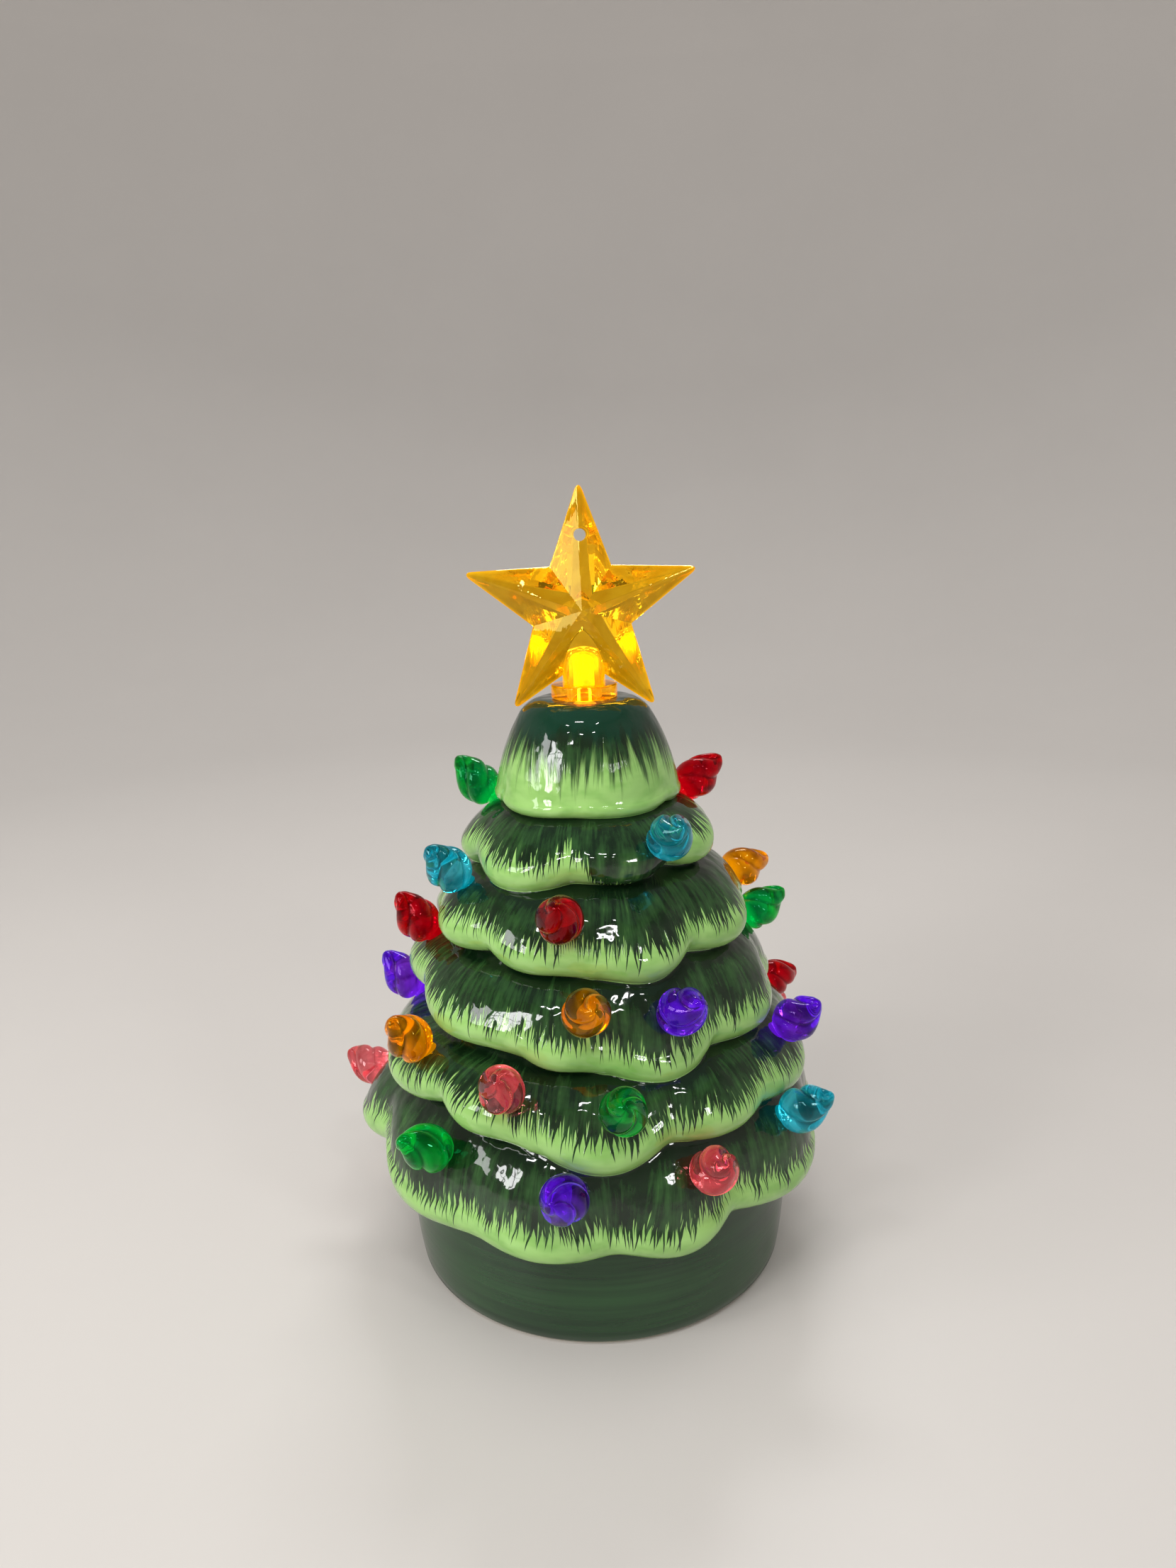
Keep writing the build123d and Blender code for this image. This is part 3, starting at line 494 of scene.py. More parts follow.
def firGlaze():
    paint, tones = firPaint, firPaint["tones"]
    material, tree, shader = newMaterial("firGlaze", Roughness=paint["roughness"], IOR=1.5)
    along, lift = ownPlace(tree, "strokes")
    tier, share = ownPlace(tree, "tierPlace")
    apart = calc(tree, "MULTIPLY", tier, paint["tierApart"])
    spot = addNode(tree, "CombineXYZ", {"X": along, "Y": lift, "Z": apart}).outputs[0]
    leaning = calc(tree, "MULTIPLY_ADD", swaying(tree, spot, 0.05, paint["bendShare"] / 4), lift, along)
    brushed = addNode(tree, "CombineXYZ", {"X": leaning, "Y": lift, "Z": apart}).outputs[0]
    topTier = step(tree, tier, 0.6, 0.4)
    waves = swaying(tree, spot, 0.045, paint["waveHeight"])
    rim = calc(tree, "ADD", waves, swaying(tree, spot, 0.21, paint["tuftHeight"]))
    rim = calc(tree, "MULTIPLY_ADD", topTier, paint["topLift"], rim)
    middle, narrow, wide = paint["darkRun"]
    away = calc(tree, "ABSOLUTE", calc(tree, "SUBTRACT", along, middle))
    ran = calc(tree, "MULTIPLY", step(tree, away, wide, narrow), calc(tree, "COMPARE", tier, 1.0, 0.3))
    rim = calc(tree, "MULTIPLY_ADD", ran, paint["darkRunDrop"], rim)
    above = calc(tree, "SUBTRACT", lift, rim)
    mask = step(tree, above, *paint["bodyLift"])
    tone = 0.0
    for layer in paint["needles"]:
        needles, chance = needleMask(tree, layer, leaning, lift, tier, rim)
        mask = calc(tree, "MAXIMUM", mask, needles)
        tone = calc(tree, "MULTIPLY_ADD", chance, tones["needle"], tone)
    smear = paint["smears"]    # the top tier is smeared instead of needled
    smears = noise(tree, stretched(tree, brushed, smear["stretch"]), 1.0, 4.0, 0.65)
    climbing = calc(tree, "MULTIPLY_ADD", above, smear["climb"], smear["level"])
    smears = step(tree, calc(tree, "MULTIPLY_ADD", smears, smear["gain"], climbing), *smear["edge"])
    mask = addNode(tree, "Mix", {0: topTier, 2: mask, 3: smears}).outputs[0]
    streaks = noise(tree, stretched(tree, brushed, paint["streakStretch"]), 1.0, 4.0, 0.6)
    patches = noise(tree, stretched(tree, brushed, paint["patchStretch"]), 1.0, 3.0, 0.6)
    for pattern, (gain, level) in ((streaks, tones["streaks"]), (patches, tones["patches"])):
        tone = calc(tree, "ADD", tone, calc(tree, "MULTIPLY_ADD", pattern, gain, level))
    # painted shade under the lip above, with deeper paint: darkens the top of each tier
    tone = calc(tree, "MULTIPLY_ADD", step(tree, share, *paint["neckShadeEdge"]), tones["neck"], tone)
    green = mix(tree, step(tree, tone, *paint["middleEdge"]), paint["dark"], paint["middle"])
    green = mix(tree, step(tree, tone, *paint["thinEdge"]), green, paint["thin"])
    drips = noise(tree, stretched(tree, spot, paint["dripStretch"]), 1.0, 2.0)
    capHeight, capRun = paint["capEdge"]
    aboveCap = calc(tree, "SUBTRACT", lift, calc(tree, "MULTIPLY_ADD", drips, capRun, capHeight))
    capMask = calc(tree, "MULTIPLY", topTier, step(tree, aboveCap, 0.0, paint["capSoftness"]))
    green = mix(tree, capMask, green, paint["cap"])
    clouds = noise(tree, stretched(tree, spot, paint["cloudStretch"]), 1.0, 2.0)
    pale = mix(tree, step(tree, clouds, 0.35, 0.75), paint["light"], paint["lightShade"])
    under = step(tree, lift, *paint["underEdge"])
    painted = mix(tree, calc(tree, "MAXIMUM", mask, capMask), pale, green)
    painted = mix(tree, under, painted, paint["dark"])
    tree.links.new(painted, shader.inputs["Base Color"])
    swell = noise(tree, objectPlace(tree), paint["swellScale"], 1.0)
    ripple = noise(tree, objectPlace(tree), paint["rippleScale"], 1.0)
    height = calc(tree, "MULTIPLY_ADD", ripple, paint["rippleShare"], swell)
    height = calc(tree, "MULTIPLY_ADD", mask, paint["needleRelief"], height)
    bumpInto(tree, shader, height, *paint["bump"])
    return material


collarPaint = {
    "dark": colour(14, 42, 20),
    "light": colour(33, 71, 35),
    "foot": colour(196, 190, 172),
    "streakStretch": (14.0, 14.0, 420.0),
    "wideStretch": (24.0, 24.0, 70.0),
    "footEdge": (0.0011, 0.0004),     # metres above the floor where the glaze was wiped off
    "roughness": 0.12,
}


def collarGlaze():
    paint = collarPaint
    material, tree, shader = newMaterial("collarGlaze", IOR=1.5)
    streaks = noise(tree, stretched(tree, objectPlace(tree), paint["streakStretch"]), 1.0, 4.0, 0.6)
    wide = noise(tree, stretched(tree, objectPlace(tree), paint["wideStretch"]), 1.0, 2.0)
    tone = calc(tree, "MULTIPLY_ADD", wide, 0.5, calc(tree, "SUBTRACT", streaks, 0.25))
    green = mix(tree, step(tree, tone, 0.2, 0.8), paint["dark"], paint["light"])
    height = split(tree, objectPlace(tree))[2]
    bare = step(tree, calc(tree, "MULTIPLY_ADD", streaks, 0.0004, height), *paint["footEdge"])
    green = mix(tree, bare, green, paint["foot"])
    tree.links.new(green, shader.inputs["Base Color"])
    rough = calc(tree, "MULTIPLY_ADD", streaks, 0.10, paint["roughness"])
    tree.links.new(calc(tree, "MULTIPLY_ADD", bare, 0.4, rough), shader.inputs["Roughness"])
    bumpInto(tree, shader, streaks, 0.15, 0.0004)
    return material


clayLook = {"dark": colour(186, 178, 160), "light": colour(222, 216, 202), "grainScale": 900.0}


def bareClay():
    material, tree, shader = newMaterial("bareClay", Roughness=0.75)
    grain = noise(tree, objectPlace(tree), clayLook["grainScale"], 3.0)
    tree.links.new(mix(tree, grain, clayLook["dark"], clayLook["light"]), shader.inputs["Base Color"])
    bumpInto(tree, shader, grain, 0.25, 0.0003)
    return material


treePiece = ceramicTree([firGlaze(), collarGlaze(), bareClay()])
print("tree:", len(treePiece.data.vertices), "points")


# bulbs

bulbForm = {
    "radius": 4.75,
    "length": 12.4,
    "pegRadius": 2.0,
    "pegLength": 8.0,
    "lift": 1.0,
    "levelShare": 0.35,
    "lobes": 3,
    "twistDegrees": 200,
    "tipLean": 1.9,
    "tipRise": 1.012,
    "turnDegrees": 90,
    "swayDegrees": 60,
    "lipTurns": (15, -15),   # degrees round the lip of the solid's points there
    "feel": (3, 0.05),       # degrees and share by which the skin's slope is felt out
    "grooveSharpness": 1.5,
    "columns": 72,
    "rows": 40,
    "heights": [0, 0.06, 0.18, 0.34, 0.52, 0.68, 0.82, 0.93, 1],
    "radii": [0.50, 0.74, 0.95, 1.04, 1.00, 0.81, 0.57, 0.37, 0.13],
    "grooves": [0, 0.06, 0.13, 0.17, 0.21, 0.25, 0.27, 0.22, 0],
}
bulbPlaces = [    # tier, degrees round the tree and share of the way down the tier's shoulder
    (1, -200, 0.26), (1, -59, 0.52), (1, 27, 0.30), (1, 62, 0.42), (1, 112, 0.42), (2, -153, 0.21),
    (2, -100, 0.33), (2, 26, 0.78), (2, 70, 0.42), (2, 122, 0.42), (3, -174, 0.19), (3, -93, 0.28),
    (3, -67, 0.26), (3, 19, 0.28), (3, 56, 0.40), (3, 104, 0.40), (4, -190, 0.16), (4, -146, 0.25),
    (4, -113, 0.30), (4, -84, 0.28), (4, -23, 0.22), (4, 28, 0.82), (4, 62, 0.40), (4, 95, 0.40),
    (4, 129, 0.40), (5, -194, 0.76), (5, -131, 0.15), (5, -97, 0.23), (5, -65, 0.19), (5, -34, 0.14),
    (5, 34, 0.30), (5, 63, 0.30), (5, 95, 0.30), (5, 127, 0.34),
]


def shoulderPoint(number, angle, share):
    # point on a tier's shoulder, by the five points that the solid has there
    shoulder, lip = tierOutline(number, angle)[:2]
    shoulder = shoulder[1:] if number else shoulder
    nose, brow = treeForm["noseRadius"], treeForm["browDegrees"]
    centre = (lip[0][0] - nose * cos(radians(brow)), lip[0][1] - nose * sin(radians(brow)))
    turns = [radians(a) for a in (brow, *bulbForm["lipTurns"])]
    points = [shoulder[0], shoulder[treeForm["shoulderPoints"] // 2]]
    points += [(centre[0] + nose * cos(a), centre[1] + nose * sin(a)) for a in turns]
    runs = len(points) - 1
    whole = min(int(share * runs), runs - 1)
    part = share * runs - whole
    r = points[whole][0] * (1 - part) + points[whole + 1][0] * part
    z = points[whole][1] * (1 - part) + points[whole + 1][1] * part
    return Vector((r * cos(radians(angle)), r * sin(radians(angle)), z))


def bulbSeat(number, angle, share):
    # where a bulb's back sits, with Z along the bulb
    skin = shoulderPoint(number, angle, share)
    turn, drop = bulbForm["feel"]
    across = shoulderPoint(number, angle + turn, share) - shoulderPoint(number, angle - turn, share)
    down = shoulderPoint(number, angle, share + drop) - shoulderPoint(number, angle, share - drop)
    level = Vector((cos(radians(angle)), sin(radians(angle)), 0))
    axis = down.cross(across).normalized().lerp(level, bulbForm["levelShare"]).normalized()
    side = (across - axis * across.dot(axis)).normalized()
    origin = skin + axis * bulbForm["lift"]
    facing = Matrix((side, axis.cross(side), axis)).transposed()
    return Matrix.Translation(origin) @ facing.to_4x4()


def smoothShare(heights, values, height):
    # smooth curve through a table of shares
    i = max(k for k in range(len(heights) - 1) if heights[k] <= height or k == 0)
    before, after = max(i - 1, 0), min(i + 2, len(heights) - 1)
    span = heights[i + 1] - heights[i]
    x = (height - heights[i]) / span
    slopeA = (values[i + 1] - values[before]) / (heights[i + 1] - heights[before]) * span
    slopeB = (values[after] - values[i]) / (heights[after] - heights[i]) * span
    cube, square = x ** 3, x ** 2
    return ((2 * cube - 3 * square + 1) * values[i] + (cube - 2 * square + x) * slopeA
            + (3 * square - 2 * cube) * values[i + 1] + (cube - square) * slopeB)


def bulbPiece(index, nodeName, material):
    form = bulbForm
    turned = radians(form["turnDegrees"] + form["swayDegrees"] * sin(index))
    seat = bulbSeat(*bulbPlaces[index]) @ Matrix.Rotation(turned, 4, "Z")
    pegRows = [(0, -form["pegLength"]), (form["pegRadius"], -form["pegLength"]), (form["pegRadius"], 0)]
    bodyRows = form["rows"]

    def place(column, row):
        angle = 2 * pi * (column % form["columns"]) / form["columns"]
        if row < len(pegRows):
            radius, height, lean = pegRows[row][0], pegRows[row][1], 0
        elif row == len(pegRows) + bodyRows:
            radius, height, lean = 0, form["length"] * form["tipRise"], form["tipLean"]
        else:
            share = (row - len(pegRows)) / (bodyRows - 1)
            twist = radians(form["twistDegrees"]) * share
            groove = smoothShare(form["heights"], form["grooves"], share)
            radius = form["radius"] * smoothShare(form["heights"], form["radii"], share)
            crest = abs(cos(form["lobes"] / 2 * (angle - twist)))
            radius *= 1 - groove * (1 - crest) ** form["grooveSharpness"]
            height, lean = form["length"] * share, form["tipLean"] * share ** 2
        return seat @ Vector((lean + radius * cos(angle), radius * sin(angle), height)) * mm

    def bulbPlace(column, row):
        share = (row - len(pegRows)) / (bodyRows - 1)
        return column / form["columns"], share

    bm = wrapGrid(form["columns"], len(pegRows) + bodyRows, place, {"bulbPlace": bulbPlace})
    return finishPiece("twistBulb" + nodeName[5:7], bm, [material], "tree", [nodeName], 50)


def tintGroup():
    # swirl of light and deep tint in a clear moulding, and its mask
    inputs = {"Place": "Vector", "Scale": "Float", "Deep": "Color", "Light": "Color"}
    group, source, target = newGroup("tintSwirl", inputs, {"Tint": "Color", "Swirl": "Float"})
    values = {"Vector": source["Place"], "Scale": source["Scale"], "Detail": 2.0, "Distortion": 1.2}
    swirl = step(group, addNode(group, "TexNoise", values).outputs[0], 0.3, 0.7)
    group.links.new(swirl, target["Swirl"])
    group.links.new(mix(group, swirl, source["Deep"], source["Light"]), target["Tint"])
    return group


tintSwirl = tintGroup()


def swirlOf(tree, look, scale):
    # a look's two tints, swirled
    values = {"Place": objectPlace(tree), "Scale": scale, "Deep": look["deep"], "Light": look["light"]}
    swirl = addNode(tree, "Group", node_tree=tintSwirl)
    for key, value in values.items():
        setInput(tree, swirl.inputs[key], value)
    return swirl.outputs["Tint"], swirl.outputs["Swirl"]


def glowInto(tree, shader, bright, tint):
    tree.links.new(mix(tree, bright, (0, 0, 0, 1), tint), shader.inputs["Emission Color"])


bulbTints = {    # "glint" tints the gloss, so that the pale floor doesn't grey the plastic
    "green": {"deep": colour(0, 76, 40), "light": colour(0, 134, 62), "glow": colour(0, 158, 52),
              "glint": (0.12, 0.75, 0.40, 1), "strength": 0.80},
    "red": {"deep": colour(98, 0, 8), "light": colour(168, 0, 18), "glow": colour(176, 0, 10),
            "glint": (0.75, 0.10, 0.13, 1), "strength": 0.65},
    "teal": {"deep": colour(0, 116, 134), "light": colour(76, 190, 204), "glow": colour(0, 140, 155),
             "glint": (0.45, 0.95, 1.0, 1), "strength": 0.6},
    "amber": {"deep": colour(156, 86, 0), "light": colour(224, 148, 4), "glow": colour(205, 130, 0),
              "glint": (0.95, 0.65, 0.12, 1), "strength": 0.7},
    "purple": {"deep": colour(58, 8, 112), "light": colour(114, 46, 188), "glow": colour(92, 22, 198),
               "glint": (0.55, 0.30, 0.90, 1), "strength": 0.85},
    "pink": {"deep": colour(196, 76, 84), "light": colour(240, 142, 144), "glow": colour(205, 74, 84),
             "glint": (0.95, 0.65, 0.65, 1), "strength": 0.6},
}
bulbLook = {
    "swirlScale": 170.0,
    "grooveEdge": (0.80, 1.0),
    "seat": (0.20, 0.03),    # shares of the length over which the light at the seat fades out
    "tip": (0.55, 0.95),
    "flank": ((0.30, 0.62), (0.96, 0.74)),
    "glow": {"even": 0.05, "swirl": 0.12, "flank": 0.22, "tip": 0.10},
}


def bulbPlastic(name):
    tint, glows = bulbTints[name], bulbLook["glow"]
    material, tree, shader = newMaterial("bulb" + name.title(), Roughness=0.03, IOR=1.49,
                                         Transmission_Weight=1.0, Specular_Tint=tint["glint"],
                                         Emission_Strength=tint["strength"])
    turn, share = ownPlace(tree, "bulbPlace")
    lobes = bulbForm["lobes"]
    way = calc(tree, "MULTIPLY", turn, float(lobes))
    way = calc(tree, "MULTIPLY_ADD", share, -lobes * bulbForm["twistDegrees"] / 360, way)
    crest = calc(tree, "MULTIPLY", calc(tree, "PINGPONG", way, 0.5), 2.0)    # 0 on a lobe, 1 in a groove
    shade, swirl = swirlOf(tree, tint, bulbLook["swirlScale"])
    shade = mix(tree, step(tree, crest, *bulbLook["grooveEdge"]), shade, tint["deep"])
    tree.links.new(shade, shader.inputs["Base Color"])
    rising, falling = bulbLook["flank"]
    flank = calc(tree, "MULTIPLY", step(tree, crest, *rising), step(tree, crest, *falling))
    bright = calc(tree, "MULTIPLY_ADD", swirl, glows["swirl"], glows["even"])
    bright = calc(tree, "MULTIPLY_ADD", flank, glows["flank"], bright)
    bright = calc(tree, "MULTIPLY_ADD", step(tree, share, *bulbLook["tip"]), glows["tip"], bright)
    bright = calc(tree, "MAXIMUM", bright, step(tree, share, *bulbLook["seat"]))
    glowInto(tree, shader, bright, tint["glow"])
    return material


bulbMaterials = {name: bulbPlastic(name) for name in bulbTints}
bulbNodes = sorted(name for name in nodes if name.startswith("bulb_"))
for number, nodeName in enumerate(bulbNodes):
    bulbPiece(number, nodeName, bulbMaterials[nodeName.split("_")[2]])
print("bulbs:", len(bulbNodes))


# star and its stem

starForm = {
    "points": 5,
    "radius": 27.5,
    "waist": 11.4,
    "centre": 152.5,
    "ridge": 6.5,
    "rim": 1.4,
    "tipSetback": 2.40,
    "edgeRound": 0.25,
    "hubRadius": 4.75,
    "hub": (136.0, 148.1),
    "holeRadius": 1.3,
    "holeHeight": 168.3,
    "holeDepth": 30,
    "boreLow": 133,
    "boreRadius": 3.45,
    "domeHeight": 141.0,
}


def joinedMesh(bm, cutters, unions):
    # star body with its hub added and its bores cut, made plain again
    helpers = []

    def helper(name, source):
        mesh = bpy.data.meshes.new(name)
        source.to_mesh(mesh)
        source.free()
        made = bpy.data.objects.new(name, mesh)
        bpy.context.scene.collection.objects.link(made)
        helpers.append(made)
        return made

    body = helper("starBlank", bm)
    for operation, shapes in (("UNION", unions), ("DIFFERENCE", cutters)):
        for shape in shapes:
            modifier = body.modifiers.new(operation.lower(), "BOOLEAN")
            modifier.operation = operation
            modifier.solver = "EXACT"
            modifier.object = helper("starTool", shape)
    bpy.context.view_layer.update()
    shaped = body.evaluated_get(bpy.context.evaluated_depsgraph_get())
    out = bmesh.new()
    out.from_mesh(bpy.data.meshes.new_from_object(shaped))
    for made in helpers:
        bpy.data.objects.remove(made)
    return out


def upright(radius, depth, segments, place):
    # plain round tool in millimetres, along Z of its place
    bm = bmesh.new()
    bmesh.ops.create_cone(bm, cap_ends=True, segments=segments, radius1=radius * mm, radius2=radius * mm,
                          depth=depth * mm, matrix=place)
    return bm


def starPiece(material):
    form = starForm
    thin = form["rim"] / 2
    bm = bmesh.new()
    ring = bmesh.ops.create_circle(bm, segments=2 * form["points"], radius=1.0)["verts"]
    for v in ring:
        turn = round((v.co.to_2d().angle_signed(Vector((0, 1))) % (2 * pi)) / (pi / form["points"]))
        reach = form["waist"] if turn % 2 else form["radius"]
        angle = pi / 2 + pi / form["points"] * turn
        v.co = Vector((reach * cos(angle), thin, reach * sin(angle)))
    face = bmesh.ops.contextual_create(bm, geom=ring)["faces"][0]
    grown = bmesh.ops.extrude_face_region(bm, geom=[face])["geom"]
    other = [g for g in grown if isinstance(g, bmesh.types.BMFace)][0]
    bmesh.ops.translate(bm, verts=other.verts[:], vec=(0, -form["rim"], 0))

    def crosses(edge):
        return abs(edge.verts[0].co.y - edge.verts[1].co.y) > thin / 2

    tips = [e for e in bm.edges if crosses(e) and hypot(e.verts[0].co.x, e.verts[0].co.z) > 1.5 * form["waist"]]
    bmesh.ops.bevel(bm, geom=tips, offset=form["tipSetback"], affect="EDGES", segments=4, profile=0.5,
                    material=-1)
    rims = [e for e in bm.edges if not crosses(e)]
    bmesh.ops.bevel(bm, geom=rims, offset=form["edgeRound"], affect="EDGES", segments=2, profile=0.5,
                    material=-1)
    flats = sorted(bm.faces, key=lambda f: f.calc_area())[-2:]
    bmesh.ops.recalc_face_normals(bm, faces=bm.faces[:])
    bmesh.ops.poke(bm, faces=flats, offset=form["ridge"], center_mode="MEAN")
    for v in bm.verts:
        if hypot(v.co.x, v.co.z) < form["waist"] / 2:    # the two raised middles
            v.co.x, v.co.z = 0, 0
    bmesh.ops.transform(bm, matrix=Matrix.Translation((0, 0, form["centre"])), verts=bm.verts[:])
    bmesh.ops.scale(bm, vec=(mm, mm, mm), verts=bm.verts[:])
    bmesh.ops.recalc_face_normals(bm, faces=bm.faces[:])
    low, high = form["hub"]
    hub = upright(form["hubRadius"], high - low, 72, Matrix.Translation((0, 0, (low + high) / 2 * mm)))
    wide, dome = form["boreRadius"], form["domeHeight"]
    bore = lathe([(0, form["boreLow"]), (wide, form["boreLow"]), *arc(0, dome, wide, 0, 91, 10)])
    across = Matrix.Translation((0, 0, form["holeHeight"] * mm)) @ Matrix.Rotation(pi / 2, 4, "X")
    hole = upright(form["holeRadius"], form["holeDepth"], 48, across)
    out = joinedMesh(bm, [bore, hole], [hub])
    return finishPiece("amberStar", out, [material], "star", ["star_topper"], 12)


stemForm = {
    "peg": (4.6, 121.0),
    "boreRadius": 2.6,
    "flangeRadius": 7.4,
    "flange": (133.0, 136.0),
    "round": 0.35,
    "bullet": (3.3, 141.0),
}


def stemPiece(material):
    form = stemForm
    radius, low = form["peg"]
    flangeLow, flangeHigh = form["flange"]
    wide, edge = form["flangeRadius"] - form["round"], form["round"]
    (bullet, dome), bore = form["bullet"], form["boreRadius"]
    outside = [(bore, low), (radius, low), (radius, flangeLow), (wide, flangeLow)]
    outside += arc(wide, flangeLow + edge, edge, -60, 1, 30)
    outside += arc(wide, flangeHigh - edge, edge, 0, 91, 30)
    outside += [(bullet, flangeHigh), *arc(0, dome, bullet, 0, 91, 10)]
    bm = lathe(outside)
    hollow = lathe(arc(0, dome, bore, 90, -1, -10) + [(bore, low)])
    bmesh.ops.reverse_faces(hollow, faces=hollow.faces[:])
    mesh = bpy.data.meshes.new("stemHollow")
    hollow.to_mesh(mesh)
    hollow.free()
    bm.from_mesh(mesh)
    bmesh.ops.remove_doubles(bm, verts=bm.verts[:], dist=weldDistance)
    return finishPiece("flangedStem", bm, [material], "stem", ["star_stem"], 35)


starLook = {
    "swirlScale": 120.0,
    "deep": colour(240, 170, 4),
    "light": colour(252, 200, 36),
    "glow": colour(255, 186, 14),
    "glint": (0.95, 0.80, 0.22, 1),
    "boreGlow": {"radius": (0.0044, 0.0036), "height": (0.1462, 0.1440), "share": 0.45},
    "rimGlow": {"depth": (0.0012, 0.0003), "share": 0.30},
    "evenGlow": 0.03,
    "rippleStretch": (500.0, 500.0, 120.0),
}
stemLook = {
    "swirlScale": 300.0,
    "deep": colour(246, 168, 4),
    "light": colour(255, 212, 56),
    "flangeGlow": colour(240, 150, 0),
    "bulletGlow": colour(252, 208, 40),
    "bulletHeight": (0.1362, 0.1400),
    "glows": {"even": 0.16, "swirl": 0.22, "bullet": 0.60},
}


def amberPlastic(name, roughness):
    return newMaterial(name, Roughness=roughness, IOR=1.49, Transmission_Weight=1.0,
                       Specular_Tint=starLook["glint"], Emission_Strength=1.0)


def starPlastic():
    look, boreGlow, rimGlow = starLook, starLook["boreGlow"], starLook["rimGlow"]
    material, tree, shader = amberPlastic("starAmber", 0.02)
    shade, swirl = swirlOf(tree, look, look["swirlScale"])
    tree.links.new(shade, shader.inputs["Base Color"])
    y, z = split(tree, objectPlace(tree))[1:]
    level = stretched(tree, objectPlace(tree), (1.0, 1.0, 0.0))
    away = addNode(tree, "VectorMath", {0: level}, operation="LENGTH").outputs["Value"]
    bore = calc(tree, "MULTIPLY", step(tree, away, *boreGlow["radius"]), step(tree, z, *boreGlow["height"]))
    rim = step(tree, calc(tree, "ABSOLUTE", y), *rimGlow["depth"])
    bright = calc(tree, "MULTIPLY_ADD", swirl, look["evenGlow"], look["evenGlow"])
    bright = calc(tree, "MULTIPLY_ADD", rim, rimGlow["share"], bright)
    bright = calc(tree, "MULTIPLY_ADD", bore, boreGlow["share"], bright)
    glowInto(tree, shader, bright, look["glow"])
    ripple = noise(tree, stretched(tree, objectPlace(tree), look["rippleStretch"]), 1.0, 2.0)
    bumpInto(tree, shader, ripple, 0.12, 0.0004)
    return material


def stemPlastic():
    look, glows = stemLook, stemLook["glows"]
    material, tree, shader = amberPlastic("stemAmber", 0.04)
    shade, swirl = swirlOf(tree, look, look["swirlScale"])
    tree.links.new(shade, shader.inputs["Base Color"])
    bullet = step(tree, split(tree, objectPlace(tree))[2], *look["bulletHeight"])
    bright = calc(tree, "MULTIPLY_ADD", swirl, glows["swirl"], glows["even"])
    bright = calc(tree, "MULTIPLY_ADD", bullet, glows["bullet"], bright)
    glowInto(tree, shader, bright, mix(tree, bullet, look["flangeGlow"], look["bulletGlow"]))
    return material


starPiece(starPlastic())
stemPiece(stemPlastic())
print("star and stem done")


# parts that keep their solid's shape

def grainGroup():
    # fine moulded or drawn grain: a shade mask and a height
    group, source, target = newGroup("fineGrain", {"Scale": "Float", "Stretch": "Vector"},
                                     {"Shade": "Float", "Height": "Float"})
    place = stretched(group, objectPlace(group), source["Stretch"])
    fine = noise(group, place, source["Scale"], 3.0)
    wide = noise(group, place, 90.0, 2.0)
    both = calc(group, "MULTIPLY_ADD", fine, 0.5, calc(group, "MULTIPLY", wide, 0.5))
    group.links.new(step(group, both, 0.3, 0.7), target["Shade"])
    group.links.new(fine, target["Height"])
    return group


fineGrain = grainGroup()
nodeFinishes = {
    "base_plastic": {"dark": colour(24, 42, 28), "light": colour(34, 56, 38), "roughness": 0.5, "scale": 2600.0},
    "cell_sleeve": {"dark": colour(20, 20, 24), "light": colour(34, 34, 40), "roughness": 0.28, "scale": 900.0},
    "contact_metal": {"dark": colour(150, 148, 142), "light": colour(205, 203, 196), "roughness": 0.3,
                      "scale": 1500.0, "metallic": 1.0, "stretch": (1.0, 0.15, 1.0)},
    "board_laminate": {"dark": colour(14, 70, 38), "light": colour(24, 96, 52), "roughness": 0.4, "scale": 1400.0},
    "screw_steel": {"dark": colour(140, 140, 142), "light": colour(200, 200, 202), "roughness": 0.32,
                    "scale": 1800.0, "metallic": 1.0},
    "chip_plastic": {"dark": colour(14, 14, 15), "light": colour(26, 26, 27), "roughness": 0.6, "scale": 3000.0},
    "switch_metal": {"dark": colour(140, 140, 136), "light": colour(198, 198, 192), "roughness": 0.36,
                     "scale": 1600.0, "metallic": 1.0, "stretch": (0.15, 1.0, 1.0)},
    "slider_plastic": {"dark": colour(16, 16, 17), "light": colour(30, 30, 31), "roughness": 0.5, "scale": 2600.0},
    "lead_insulation": {"dark": colour(140, 16, 14), "light": colour(178, 26, 20), "roughness": 0.45,
                        "scale": 1200.0},
}
roughSpread = 0.14    # how much the grain changes a finish's roughness


def nodeFinish(name):
    finish = nodeFinishes[name]
    words = name.split("_")
    material, tree, shader = newMaterial(words[0] + words[1].title(), Metallic=finish.get("metallic", 0.0))
    grain = addNode(tree, "Group", node_tree=fineGrain)
    grain.inputs["Scale"].default_value = finish["scale"]
    grain.inputs["Stretch"].default_value = finish.get("stretch", (1.0, 1.0, 1.0))
    shade = grain.outputs["Shade"]
    tree.links.new(mix(tree, shade, finish["dark"], finish["light"]), shader.inputs["Base Color"])
    rough = calc(tree, "MULTIPLY_ADD", shade, roughSpread, finish["roughness"] - roughSpread / 2)
    tree.links.new(rough, shader.inputs["Roughness"])
    bumpInto(tree, shader, grain.outputs["Height"], 0.2, 0.0002)
    return material


lampLook = {
    "swirlScale": 500.0,
    "deep": colour(235, 205, 150),
    "light": colour(255, 244, 215),
    "glow": (colour(255, 190, 80), colour(255, 226, 150)),
}


def lampClear():
    material, tree, shader = newMaterial("lampClear", Roughness=0.08, Emission_Strength=6.0)
    shade, swirl = swirlOf(tree, lampLook, lampLook["swirlScale"])
    tree.links.new(shade, shader.inputs["Base Color"])
    tree.links.new(mix(tree, swirl, *lampLook["glow"]), shader.inputs["Emission Color"])
    return material


